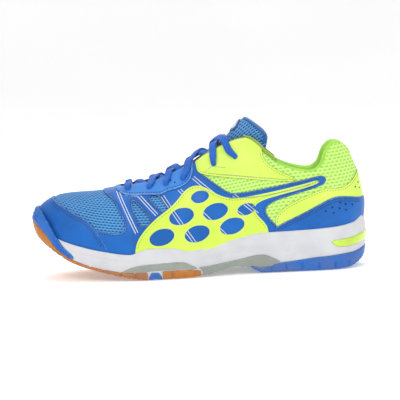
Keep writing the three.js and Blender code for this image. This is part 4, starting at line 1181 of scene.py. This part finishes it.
def tongue_face(p):
    """How deep the tongue's face lies: least in the middle, and deeper where it runs under the edges."""
    s = station_of(p[..., 0])
    y = plan_of(p)[1]
    edge_depth = mix(6.1, 10.2, smooth((s - 55) / 6))
    edge_depth = mix(edge_depth, 6.5, smooth((p[..., 2] - 112) / 14))
    out = smooth((np.abs(y) - throat_gap(s) * 0.35) / (throat_gap(s) * 0.62))
    return TONGUE_LIFT * smooth((s - 57) / 8) - mix(3.5, edge_depth, out)


def tongue_thickness(p):
    return mix(4.6, 9.5, smooth((station_of(p[..., 0]) - 50) / 14))


def tongue_top(d, flow, p):
    quilt = 0.5 * smooth((d - 3) / 8) * smooth((p[..., 2] - 112) / 12)
    fold = tongue_thickness(p) / 2 * (1 - roll_share(d, TONGUE_FOLD))
    return tongue_face(p) - fold + quilt + cell_height(flow, 3.6, 2.8, 0.38, 0.35)


def tongue_low(d, flow, p):
    return tongue_face(p) - tongue_thickness(p) / 2 * (1 + roll_share(d, TONGUE_FOLD))


tongue_keep = at_least(in_tongue_plan, within(tongue_side))


def under_tongue(offset, inset=1.8):
    return lambda d, flow, p: tongue_low(d + inset, flow, p) + offset


def round_tongue(face, offset):
    """The height of a tape folded over the tongue's edge."""
    return lambda d, flow, p: face(np.clip(tongue_keep(p), 0, None), flow * 0, p) + offset


tongue_pad = skin(
    "tongue_pad", over, TONGUE_SPANS, (230, 120), [tongue_keep], (tongue_top, tongue_low),
    (tongue_cloth, "blue_mesh"), ["tongue_face", "tongue_foam"], "tongue", None)
skin("tongue_lining_cloth", over, TONGUE_SPANS, (130, 80), [lambda p: tongue_keep(p) - 1.8],
     (under_tongue(0.3), under_tongue(-0.7)), LINING, ["tongue_lining"], "tongue", None)
skin("tongue_binding_tape", over, (station_span(52, 73), TONGUE_SPANS[1]), (190, 170),
     [tongue_keep, lambda p: 2.6 - tongue_keep(p), lambda p: p[..., 2] - 116],
     (round_tongue(tongue_top, 1.0), round_tongue(tongue_low, -0.8)), (blue_knit, "blue_mesh"),
     ["tongue_binding"], "tongue", None)

LABEL_AT, LABEL_LONG, LABEL_WIDE = 62.0, 5.6, 9.0


def oval_plan(long, wide):
    turns = np.linspace(0, FULL_TURN, 40, endpoint=False)
    outline = np.stack([x_at(LABEL_AT) + long * np.cos(turns), wide * np.sin(turns)], -1)
    return lambda p: np.where(p[..., 2] > 100, inside_by(outline, *plan_of(p)), -1)


def label_top(lift):
    return lambda d, flow, p: tongue_face(p) + 0.5 + lift - 0.3 * np.exp(-d)


for name, long, wide, lift, material, nodes in (
        ("tongue_label_patch", LABEL_LONG, LABEL_WIDE, 0.9, blue_skin, ["tongue_label"]),
        ("tongue_label_face", LABEL_LONG - 1.5, LABEL_WIDE - 1.6, 1.35, label_print, [])):
    skin(name, over, (station_span(57, 67), (QUARTER - 0.7, QUARTER + 0.7)), (70, 70),
         [oval_plan(long, wide)], (label_top(lift), lambda d, flow, p: tongue_face(p) - 0.2),
         (material, "light_blue_synthetic"), nodes, "tongue")

# ---------------------------------------------------------------- sole

BAR_FROM, BAR_TO, BAR_HEIGHT = 34.5, 38.8, 6.3
gum_stations = [50.4, 48, 45, 41, 38.8, 34.5, 30, 26, 21, 16.4, 12.6, 10.8, 8.1, 6.7, 5.3, 3.5, 1.8, 0]
bar_gap = [(BAR_FROM - 0.1, -20, 1), (BAR_FROM - 0.1, BAR_HEIGHT + 0.6, 1),
           (BAR_TO + 0.1, BAR_HEIGHT + 0.6, 1), (BAR_TO + 0.1, -20, 1)]
gum_outline = side_outline(
    [(-6, -20, 1), *bar_gap, (50.5, -20, 1), *[(s, gum_top(s)) for s in gum_stations], (-6, 54, 1)], 1)
bar_outline = side_outline([
    (BAR_FROM, -20, 1), (BAR_TO, -20, 1), (BAR_TO, BAR_HEIGHT), (BAR_FROM, BAR_HEIGHT)], 1)
heel_rubber_outline = side_outline([
    (64.8, -20, 1), (106, -20, 1), (106, 19, 1),
    *[(s, heel_rubber_side(s)) for s in (100, 96.8, 93.8, 89.2, 83.1, 77, 73.9)],
    (71.5, 6.7), (69.7, 5.0), (67.8, 4.3), (66.3, 5.1), (64.9, 6.6, 1)], 1)
shank_outline = side_outline([
    (49.0, 8.7), (51.2, 9.2), (55.8, 10.7), (60.4, 12.9), (65, 15.5), (68, 16.5), (70, 15.2), (72.3, 11.4),
    (73.6, 9.2, 1), (71.5, 7.1), (69.7, 5.4), (67.8, 4.7), (66.3, 5.5), (64.7, 7.1, 1), (64.6, -20, 1),
    (50.8, -20, 1), (50.8, 6.4)], 2)
rim_outline = side_outline([
    (26.2, 7.0, 1), (27.9, 9), (30.1, 11.7), (32.2, 13.7), (36, 14.4), (40, 14.9), (43.1, 15.2), (45.2, 14.6),
    (46.7, 11.8), (49, 8.2, 1), (47.6, 6.6), (45.8, 8.2), (41.2, 8.3), (35, 7.8), (31, 7.2)], 2)
gel_outline = side_outline([
    (88.6, 25.2, 1), (90.3, 26.3), (94, 27), (96.4, 28.4), (98.6, 30.7), (103, 33, 1), (103, 25.4, 1),
    (99, 23.4), (97, 21.2), (93.9, 19.8), (91.2, 19.6), (90.2, 20.6)], 2)
both_side_outlines = [gum_outline, bar_outline, heel_rubber_outline, shank_outline]
lateral_outlines = [rim_outline, gel_outline]
SOCKET = 1.65
SOCKETS_BELOW = 60


def sculpt(p):
    """The midsole's modelled side: a bulge over the forefoot rim and a long soft channel to the heel."""
    s = station_of(p[..., 0])
    z = p[..., 2]
    low, high = tread(s), bite_line(s)
    share = (z - low) / np.maximum(high - low, 1)
    channel = groove(share - 0.6, 0.085, 1.5) * smooth((s - 50) / 9) * smooth((90 - s) / 5)
    hump = 0.9 * np.exp(-((s - 38.5) / 7.5) ** 4) * smooth((share - 0.42) / 0.12)
    toe_line = groove(share - 0.72, 0.06, 0.8) * smooth((s - 13) / 4) * smooth((31 - s) / 4)
    return channel + hump + toe_line


def seated(p):
    """How far the midsole is cut back where a rubber or plastic piece sits on it."""
    depth = np.zeros(p.shape[:-1])
    low = p[..., 2] < SOCKETS_BELOW
    near = p[low]
    inside = [within(outline)(near) for outline in both_side_outlines]
    inside += [np.minimum(within(outline)(near), y_shift - near[:, 1]) for outline in lateral_outlines]
    depth[low] = SOCKET * smooth((np.maximum.reduce(inside) - 0.4) / 0.9)
    return depth


def midsole():
    columns = 460
    u, q = np.meshgrid(np.linspace(0, FULL_TURN, columns + 1)[:-1], np.concatenate([
        np.linspace(-1, 0, 24)[:-1], np.linspace(0, 1, 36)[:-1], np.linspace(1, LIP_TURN, 10)[:-1],
        np.linspace(LIP_TURN, 2, 17)]), indexing="ij")
    rows = u.shape[1]
    p = sole(u, q)
    n = normals_of(sole, u, np.clip(q, -0.98, 1.9))
    wall = smooth((q + 0.02) / 0.1) * smooth((1.02 - q) / 0.1)
    p = p + n * (sculpt(p) * wall - (0.25 + seated(p)) * (q < 1))[..., None]
    flow = np.stack([u * 50, q * 30, np.full_like(u, 3.0)], -1)
    faces = []
    for i in range(columns):
        k = (i + 1) % columns
        faces += [[i * rows + j, k * rows + j, k * rows + j + 1, i * rows + j + 1] for j in range(rows - 1)]
    return tidy_mesh(new_mesh("midsole_body", p.reshape(-1, 3), faces, flow.reshape(-1, 3)), 0.03)


finished(midsole(), (foam_white, "midsole_foam"), ["midsole"])

gum_sipes = [17.6, 21.5, 26.6, 30.9, 41.8, 45.2, 48.4]
heel_sipes = [71.2, 75.4, 80.2, 85.2, 90.0, 94.2]
TREAD_DEPTH = 0.9


def underside(p):
    """1 on the tread, and 0 where the sole's wall has risen from it."""
    return smooth((1.6 - (p[:, 2] - tread(station_of(p[:, 0])))) / 1.0)


def herringbone(p, pitch):
    """Zigzag tread grooves on the underside."""
    zig = np.abs(np.mod(p[..., 1] - y_shift, 16) - 8)
    wave = np.abs(np.mod(p[..., 0] + zig * 0.9, pitch) - pitch / 2)
    return -TREAD_DEPTH * smooth((1.3 - wave) / 0.7)


def tread_top(sipes, pitch):
    def top(d, flow, p):
        above = p[:, 2] - tread(station_of(p[:, 0]))
        under = underside(p)
        fade = smooth((7.5 - above) / 2)
        cuts = sum(groove(p[:, 0] - x_at(at) + 0.12 * above, 0.8, 1.25) * fade for at in sipes)
        zigzag = herringbone(p, pitch) * smooth((d - 2.0) / 1.2)
        return 0.15 + roll_share(d, 0.9) * 0.35 + (1 - under) * cuts + under * zigzag
    return top


def bar_top(d, flow, p):
    notch = groove(p[:, 0] - x_at((BAR_FROM + BAR_TO) / 2), 1.5, 1.2)
    return 0.25 + 0.3 * roll_share(d, 0.8) + notch * smooth((5.2 - p[:, 2]) / 2)


def shank_top(d, flow, p):
    row = np.abs(np.mod(p[:, 1] - y_shift + 40, 14) - 7)
    ribs = 0.9 * smooth((2.2 - row) / 1.2) * underside(p) * smooth((d - 3) / 3)
    return 0.05 + 0.5 * roll_share(d, 1.1) + ribs


def bevelled(base, rise, radius):
    return lambda d, flow, p: base + rise * roll_share(d, radius)


ALL_ROUND = (0, FULL_TURN)
for name, spans, count, outline, top, low, look, node in (
        ("outsole_forefoot_rubber", (ALL_ROUND, (-1, 0.9)), (520, 78), gum_outline,
         tread_top(gum_sipes, 7.5), -2.0, (gum, "gum_rubber"), "outsole_forefoot"),
        ("outsole_flex_bar_rubber", (ALL_ROUND, (-1, 0.9)), (560, 70), bar_outline,
         bar_top, -2.0, BLUE_RUBBER, "outsole_flex_bar"),
        ("outsole_heel_rubber", (wrap_span(62), (-1, 0.9)), (380, 84), heel_rubber_outline,
         tread_top(heel_sipes, 8.0), -2.0, BLUE_RUBBER, "outsole_heel"),
        ("midfoot_shank_plate", (wrap_span(47), (-1, 0.95)), (470, 84), shank_outline,
         shank_top, -2.0, GREY_PLASTIC, "midfoot_shank"),
        ("forefoot_rim_plate", (station_span(22, 54), (-0.1, 0.95)), (230, 60), rim_outline,
         bevelled(0.1, 0.9, 2.4), -2.0, GREY_PLASTIC, "forefoot_side_rim"),
        ("heel_gel_window", ((float(end_angle(84)), math.pi + 0.28), (0, 1)), (110, 60), gel_outline,
         bevelled(-0.2, 1.0, 2.2), -2.5, (gel, "clear_gel"), "heel_gel_cushion")):
    skin(name, sole, spans, count, [within(outline)], (top, low), look, [node])

guard_outline = side_outline([
    (-4, 53.6, 1), (0, 53.6), (1.8, 49), (3.5, 44.6), (5.3, 38.5), (6.7, 32), (8.1, 27.6), (10.6, 22),
    (12.9, 19.0), (12.6, 22.7), (10.8, 27.5), (9.0, 33.2), (7.6, 39), (6.4, 45), (5.2, 52), (3.9, 58),
    (2.4, 64.3), (-4, 65.5, 1)], 2)


def guard_top(d, flow, p):
    slot_at = p[:, 2] + 0.72 * (p[:, 0] - toe_x)
    reach = smooth((8.5 - (p[:, 0] - toe_x)) / 2)
    slots = (groove(slot_at - 61.2, 0.55, 0.9) + groove(slot_at - 57.6, 0.55, 0.9)) * reach
    return 0.2 + 0.75 * roll_share(d, 1.8) + slots


guard_reach = float(end_angle(14.5))
skin("toe_guard_rubber", guard_wall, ((-guard_reach, guard_reach), (17, 67)), (170, 90),
     [within(guard_outline)], (guard_top, -1.4), BLUE_RUBBER, ["toe_guard"])

# ---------------------------------------------------------------- stitching, lines, perforations and lace holes as dark discs of painted shade, and trims


STITCH_LONG, STITCH_WIDE, STITCH_HIGH, STITCH_PITCH = 1.7, 0.8, 0.6, 2.5
stitched = {"blue": [], "yellow": []}


def stitch_along(kind, side, rows, lift):
    """Short capsules of thread laid end to end along a line on the upper."""
    path = side_path(side, rows, lift, STITCH_PITCH, False)
    if len(path) < 3:
        return
    for i in range(len(path) - 1):
        p, up = path[i, :3], path[i, 3:6]
        ahead = unit(path[i + 1, :3] - path[max(i - 1, 0), :3])
        across = unit(np.cross(up, ahead))
        ring = [(across * math.cos(a) * STITCH_WIDE + up * math.sin(a) * STITCH_HIGH) * 0.85 / 2
                for a in hexagon_turns]
        rings = [[p + ahead * STITCH_LONG * share + at for at in ring] for share in (-0.34, 0.34)]
        stitched[kind].append(ring_solid(rings, p - ahead * STITCH_LONG / 2, p + ahead * STITCH_LONG / 2))


def runs_where(rows, ok):
    """The unbroken runs of the rows that are ok."""
    runs = [[]]
    for row, good in zip(rows, ok):
        if good:
            runs[-1].append(row)
        elif runs[-1]:
            runs.append([])
    return [run for run in runs if len(run) > 2]


def border_rows(outline, inset):
    """The parts of an outline that show on the side, set in from its edge, as [station, height] rows."""
    before, after = np.roll(outline, 1, 0), np.roll(outline, -1, 0)
    area = np.sum(outline[:, 0] * after[:, 1] - after[:, 0] * outline[:, 1])
    edge = unit(after - before) * (inset if area > 0 else -inset)
    x, z = (outline + np.stack([-edge[:, 1], edge[:, 0]], -1)).T
    x, z = np.append(x, x[0]), np.append(z, z[0])
    s = station_of(x)
    ok = (s > 1.5) & (s < 98) & (z > bite_line(s) + 2.5) & (z < ridge(s) - 5)
    return runs_where(list(zip(s, z)), ok)


def clear_path(side, rows, tests):
    """The runs of rows whose places on the upper pass every test."""
    place = on_upper(side, x_at([s for s, z in rows]), [z for s, z in rows])[0]
    return runs_where(rows, at_least(*tests)(place) > 0) if tests else [rows]


stitch_rows = (
    (cap_outline, 1.9, 1.6, "blue", []), (cap_outline, 3.9, 1.6, "blue", []),
    (wrap_outline, 1.7, 1.12, "blue", [outside_throat]),
    (heel_outline, 2.0, 1.95, "blue", []), (heel_outline, 4.0, 1.95, "blue", []),
    (eyestay_outline, 1.8, 2.0, "blue", [lambda p: outside_throat(p) - 1.5]),
    (flap_outline, 1.8, 1.25, "yellow", [lambda p: outside_throat(p) - 2, lambda p: under_collar(p, 3)]),
    (backstay_outline, 1.8, 0.95, "yellow", [clear_of(heel_outline, margin=1)]),
    (panel_outline, 2.0, 2.25, "yellow", []),
    *[(window, -1.5, 1.12, "blue", []) for window in window_outlines])
for side in (LATERAL, MEDIAL):
    for outline, inset, lift, kind, tests in stitch_rows:
        for run in border_rows(outline, inset):
            for part in clear_path(side, run, tests):
                stitch_along(kind, side, part, lift)
for kind, thread in (("blue", blue_thread), ("yellow", yellow_thread)):
    finished(joined("stitching_" + kind, stitched[kind]), (thread, kind + "_synthetic"))


def doubled(rows, apart):
    """Two lines side by side from one."""
    rows = np.array(rows, float)
    ahead = unit((rows[-1] - rows[0]) * (length / 100, 1))
    off = np.array([-ahead[1] * 100 / length, ahead[0]]) * apart / 2
    return [rows + off, rows - off]


PRINT_HIGH = 0.35


def printed(side, rows, lift, wide, tests):
    """Flat lines along the parts of a path that pass every test."""
    flat = np.array(rows, float)
    fine = even_steps(np.stack([x_at(flat[:, 0]), flat[:, 1]], -1), 1.0)
    runs = clear_path(side, list(zip(station_of(fine[:, 0]), fine[:, 1])), tests)
    return [swept(side_path(side, run, lift, 1.0, False), lambda i, run: oval(wide, PRINT_HIGH, 6, 0.6))
            for run in runs if len(run) > 3]


on_wrap = [within(wrap_outline), clear_of(*window_outlines, margin=0.6)]
silver_lines = [[(26.4, 76), (31.8, 41)], [(30.2, 80), (37.8, 55.6)], [(28.7, 73.6), (32.2, 72.6)]]
under_lines = [[(38.6, 76), (48.6, 30)], [(43.5, 80), (58, 34)], [(49, 86), (66.5, 42)],
               [(60.5, 70), (67.4, 52)]]
flap_lines = [[(52.4, 90.2), (54.6, 95.2), (58.6, 93.6)], [(53.4, 89.4), (62, 86.6), (76.5, 80.8)]]
strap_line = [(59, 67.2), (69, 67.4), (76, 70.9), (83.4, 75.8)]
silver, grey = [], []
for side in (LATERAL, MEDIAL):
    for lines, apart, wide, tests in (
            (silver_lines, 2.2, 0.8, on_wrap),
            (under_lines, 2.4, 0.7, on_wrap + [clear_of(eyestay_outline, margin=1)])):
        for rows in lines:
            for line in doubled(rows, apart):
                silver += printed(side, line, 1.1, wide, tests)
    for rows in flap_lines:
        grey += printed(side, rows, 1.2, 0.55, [lambda p: outside_throat(p) - 8])
    grey += printed(side, strap_line, 2.22, 0.5, [within(panel_outline)])
finished(joined("silver_lines", silver), (silver_print, "light_blue_synthetic"))
finished(joined("grey_lines", grey), (grey_print, "yellow_synthetic"))


def disc_part(place, up, radius, high, sides=12):
    """A low dished disc that stands on a surface."""
    along = unit(np.cross(up, (0.0, 1.0, 0.3)))
    across = np.cross(up, along)
    turns = [k / sides * FULL_TURN for k in range(sides)]
    rings = [[place + (along * math.cos(a) + across * math.sin(a)) * radius * size + up * high * rise
              for a in turns] for size, rise in ((0.75, 0.5), (1.0, 1.0), (1.0, -0.6))]
    return ring_solid(rings, place + up * high * 0.4, place - up * high * 0.6)


heel_dots = [(87.4, 52), (89.4, 55), (91.7, 58.7), (93.3, 57), (95.2, 56), (89.7, 50), (91.5, 53.7),
             (93.4, 52)]
backstay_dots = [(97.6, 74.6), (96.6, 71), (97.9, 69.6)]
eyestay_dots = [(42.4, 83.2), (43.6, 81.6)]
hole_stations = [28.6, 35, 40.2, 45.4, 54.7, 61.2, 66]
HOLE_INSET, HOLE_CLIMB, CLIMB_FROM = 9.0, 3.4, 54.7


def hole_inset(s):
    """How far a hole is from the edge of the throat: less towards the top."""
    return HOLE_INSET - HOLE_CLIMB * smooth((np.asarray(s, float) - CLIMB_FROM) / (66 - CLIMB_FROM))


# Perforations and lace holes are dark discs standing on the surface: painted shade where the holes would be.
dots = []
for side in (LATERAL, MEDIAL):
    for rows, lift in ((heel_dots, 1.95), (backstay_dots, 0.95), (eyestay_dots, 1.95)):
        for s, z in rows:
            dots.append(disc_part(*on_upper(side, x_at(s), z, lift), 0.75, 0.18))
    for s in hole_stations:
        place, up = on_top(side, s, throat_gap(s) + hole_inset(s), 1.85 if s < 50 else 1.05)
        dots.append(disc_part(place, up, 1.9 if s < 66 else 1.6, 0.22, 18))
finished(joined("perforation_shade_discs", dots), (hole_shade_paint, "stiffener"))


def collar_piping(side):
    """A thin roll along the top edge of the flap, from the throat to the side of the collar."""
    def section(i, run):
        size = 0.4 + 0.6 * math.sin(math.pi * (i + 0.5) / len(run)) ** 0.3
        return oval(2.2 * size, 2.0 * size, 8)

    return swept(side_path(side, [row for row in collar_rows if 62.9 <= row[0] <= 74], 0.6, 1.0), section)


def throat_piping(side):
    stations = np.linspace(51, 64, 30)
    place, up = on_top(side, stations, throat_gap(stations) + 0.4, np.full(30, 0.3))
    return swept(even_steps(np.concatenate([place, up], 1), 1.0), lambda i, run: oval(1.9, 1.9, 8))


for side, label in SIDE_NAME.items():
    finished(joined("flap_piping_" + label, [collar_piping(side), throat_piping(side)]),
             (yellow_thread, "yellow_synthetic"))

# ---------------------------------------------------------------- lace

LACE_WIDE, LACE_HIGH = 6.4, 2.8
LACE_HOLES = hole_stations[:6]
LAST_HOLE = len(LACE_HOLES) - 1
LIFT_OVER, LIFT_UNDER, LIFT_LOW = 3.2, -3.7, -1.3
LIFT_HIGH = LIFT_LOW + 2.3
TAIL_SET_BACK, TAIL_LIFT = 7.5, -6.6


def top_point(side, s, out, lift):
    place, up = on_top(side, np.array([s]), np.array([out]), np.array([lift]))
    return np.concatenate([place[0], up[0]])


def at_hole(side, i, lift):
    s = LACE_HOLES[i]
    return top_point(side, s, float(throat_gap(s) + hole_inset(s)), lift)


def crossing(side, i, middle_lift):
    """From one side's edge over the tongue to the other side's."""
    start = LIFT_UNDER if i == 0 else LIFT_OVER
    end = LIFT_OVER if i + 1 == LAST_HOLE else LIFT_UNDER

    def at(own, share, across, lift):
        s = mix(LACE_HOLES[i], LACE_HOLES[i + 1], share ** 2 if i + 1 == LAST_HOLE else share)
        return top_point(own, s, float(throat_gap(s)) * across, lift)

    def slope(lift):
        return max(mix(lift, middle_lift, 0.8), LIFT_LOW)

    return [at(side, 0.13, 1.3, start), at(side, 0.24, 0.92, start), at(side, 0.38, 0.45, slope(start)),
            at(side, 0.5, 0, middle_lift),
            at(-side, 0.62, 0.45, slope(end)), at(-side, 0.76, 0.92, end), at(-side, 0.87, 1.3, end)]


def lace_half(side):
    points, at = [], side
    for i in range(LAST_HOLE + 1):
        lifts = (LIFT_OVER, LIFT_UNDER) if i in (0, LAST_HOLE) else (LIFT_UNDER, LIFT_OVER)
        points += [at_hole(at, i, lift) for lift in lifts]
        if i < LAST_HOLE:
            points += crossing(at, i, LIFT_LOW if side == LATERAL else LIFT_HIGH)
            at = -at
    return points, at


def tail_points(side):
    return [top_point(side, s, float(throat_gap(s)) + TAIL_SET_BACK, TAIL_LIFT) for s in (62.6, 64.2, 65.6)]


def front_bar(side):
    s = LACE_HOLES[0]
    gap = float(throat_gap(s))
    return [top_point(side, s, gap * 1.1, LIFT_OVER + 0.3), top_point(side, s, gap * 0.5, LIFT_LOW + 1.0)]


near_points, near_end = lace_half(LATERAL)
far_points, far_end = lace_half(MEDIAL)
lace_points = np.array(
    tail_points(near_end)[::-1] + near_points[::-1] + front_bar(LATERAL) + front_bar(MEDIAL)[::-1]
    + far_points + tail_points(far_end))
lace_line = even_steps(curve_points(lace_points, 14), 0.8)
hole_places = np.array([at_hole(side, i, 0.0)[:3] for side in SIDE_NAME for i in range(LAST_HOLE + 1)])


def lace_frames(line):
    """The line with a direction across the lace that turns slowly along it."""
    p = line[:, :3]
    tangent = unit(np.gradient(p, axis=0))
    across = np.cross(line[:, 3:6], tangent)
    strength = np.linalg.norm(across, axis=1, keepdims=True)
    across = np.where(strength > 0.35, across / np.maximum(strength, 1e-9), 0)
    for i in range(1, len(across)):
        if across[i] @ across[i - 1] < 0:
            across[i] = -across[i]
        if np.linalg.norm(across[i]) < 0.1:
            across[i] = across[i - 1]
    for _ in range(14):
        across[1:-1] = (across[:-2] + 2 * across[1:-1] + across[2:]) / 4
    across = unit(across - np.sum(across * tangent, 1, keepdims=True) * tangent)
    return p, across, np.cross(tangent, across)


LACE_SIDES = 14


def lace_section(i, run):
    """Flat between the holes, narrower through them and round at the ends, with a slight braid."""
    near = np.min(np.linalg.norm(hole_places - lace_line[i, :3], axis=1))
    pinch = smooth((near - 1.5) / 6)
    flat = smooth((min(run[i], run[-1] - run[i]) - 4) / 18)
    wide = mix(2.6, mix(4.2, LACE_WIDE, pinch), flat)
    high = mix(2.2, mix(3.2, LACE_HIGH, pinch), flat)
    ring = []
    for k, (a, b) in enumerate(oval(wide, high, LACE_SIDES, 0.75)):
        braid = 0.1 * math.sin(run[i] * 2.4 + k * FULL_TURN / LACE_SIDES * 3)
        ring.append((a * (1 + braid * 0.3), b * (1 + braid)))
    return ring


finished(joined("lace_cord", [tube(*lace_frames(lace_line), lace_section, LACE_SIDES - 1)]),
         (lace_braid, "lace_cord"), ["lace"])

for end in (near_end, far_end):
    tail = np.array(tail_points(end))
    ahead = unit(tail[2, :3] - tail[1, :3])
    path = np.array([[*(tail[2, :3] + ahead * step), *tail[2, 3:6]] for step in np.linspace(0, 11, 12)])
    finished(joined("lace_tip_sleeve_" + SIDE_NAME[end], [swept(path, lambda i, run: oval(2.3, 2.3, 10))]),
             (tip_plastic, "lace_tip"), ["lace_tip_" + SIDE_NAME[end]])

# ---------------------------------------------------------------- inner pieces that keep their CAD shape

for node, material in (("toe_puff", stiff_board), ("heel_counter", stiff_board),
                       ("strobel_board", plain_board), ("forefoot_gel_cushion", gel)):
    slots = frame["nodes"][node].data.materials
    if not slots:
        slots.append(material)
    for i in range(len(slots)):
        slots[i] = material

# ---------------------------------------------------------------- camera, light and floor

ELEVATION = math.radians(5.5)
ROLL = math.radians(2.5)
DISTANCE = 1.7
VIEW_WIDTH = 0.3494  # width of what the camera sees at the near side of the shoe
SENSOR = 36


def placed(name, data):
    made = bpy.data.objects.new(name, data)
    bpy.context.scene.collection.objects.link(made)
    return made


target = Vector((1.9, -50.0, 68.5)) * MM
back = Vector((0, -math.cos(ELEVATION), math.sin(ELEVATION)))
camera = placed("camera", bpy.data.cameras.new("camera"))
camera.data.sensor_width = SENSOR
camera.data.lens = SENSOR * DISTANCE / VIEW_WIDTH
camera.data.clip_end = 20
facing = (-back).to_track_quat("-Z", "Y").to_matrix().to_4x4()
camera.matrix_world = Matrix.Translation(target + back * DISTANCE) @ facing @ Matrix.Rotation(-ROLL, 4, "Z")
bpy.context.scene.camera = camera

for name, place, size, power in (
        ("key", (-0.5, -1.1, 1.0), (0.9, 0.7), 7.5), ("fill", (0.9, -1.0, 0.5), (0.8, 0.8), 3.2),
        ("top", (0.0, 0.2, 1.3), (1.2, 0.8), 6.5), ("rim", (0.3, 1.1, 0.8), (1.0, 0.6), 4.5)):
    light = placed(name, bpy.data.lights.new(name, "AREA"))
    light.data.shape = "RECTANGLE"
    light.data.size, light.data.size_y = size
    light.data.energy = power
    light.location = place
    light.rotation_euler = (Vector((0, 0, 0.05)) - Vector(place)).to_track_quat("-Z", "Y").to_euler()

world = bpy.data.worlds.new("studio")
world.use_nodes = True
sky = world.node_tree.nodes["Background"].inputs
sky["Color"].default_value = WHITE
sky["Strength"].default_value = 0.62
bpy.context.scene.world = world
bpy.context.scene.view_settings.view_transform = "Standard"

BACKDROP_AT, BACKDROP_CURVE, FLOOR_DROP, FLOOR_REACH = 2600, 900, 0.6, 4500
sweep = [(-FLOOR_REACH, 0)]
sweep += [(BACKDROP_AT + BACKDROP_CURVE * math.sin(a), BACKDROP_CURVE * (1 - math.cos(a)))
          for a in np.linspace(0, QUARTER, 13)]
sweep.append((BACKDROP_AT + BACKDROP_CURVE, 3500))
floor_verts = [(x, y, z - FLOOR_DROP) for y, z in sweep for x in (-FLOOR_REACH, FLOOR_REACH)]
floor_faces = [[i, i + 1, i + 3, i + 2] for i in range(0, 2 * len(sweep) - 2, 2)]
floor = new_mesh("floor", floor_verts, floor_faces)
paint = Look("floor_paint", roughness=0.9, specular=0.1)
patches = paint.use(grain_group, grain_size=3.0, patch_size=300.0)["Patches"]
paint.give(base_color=paint.mix(patches, (0.93, 0.93, 0.93, 1), (0.91, 0.91, 0.91, 1)),
           emission_color=WHITE, emission_strength=0.28)
floor.data.materials.append(paint.material)
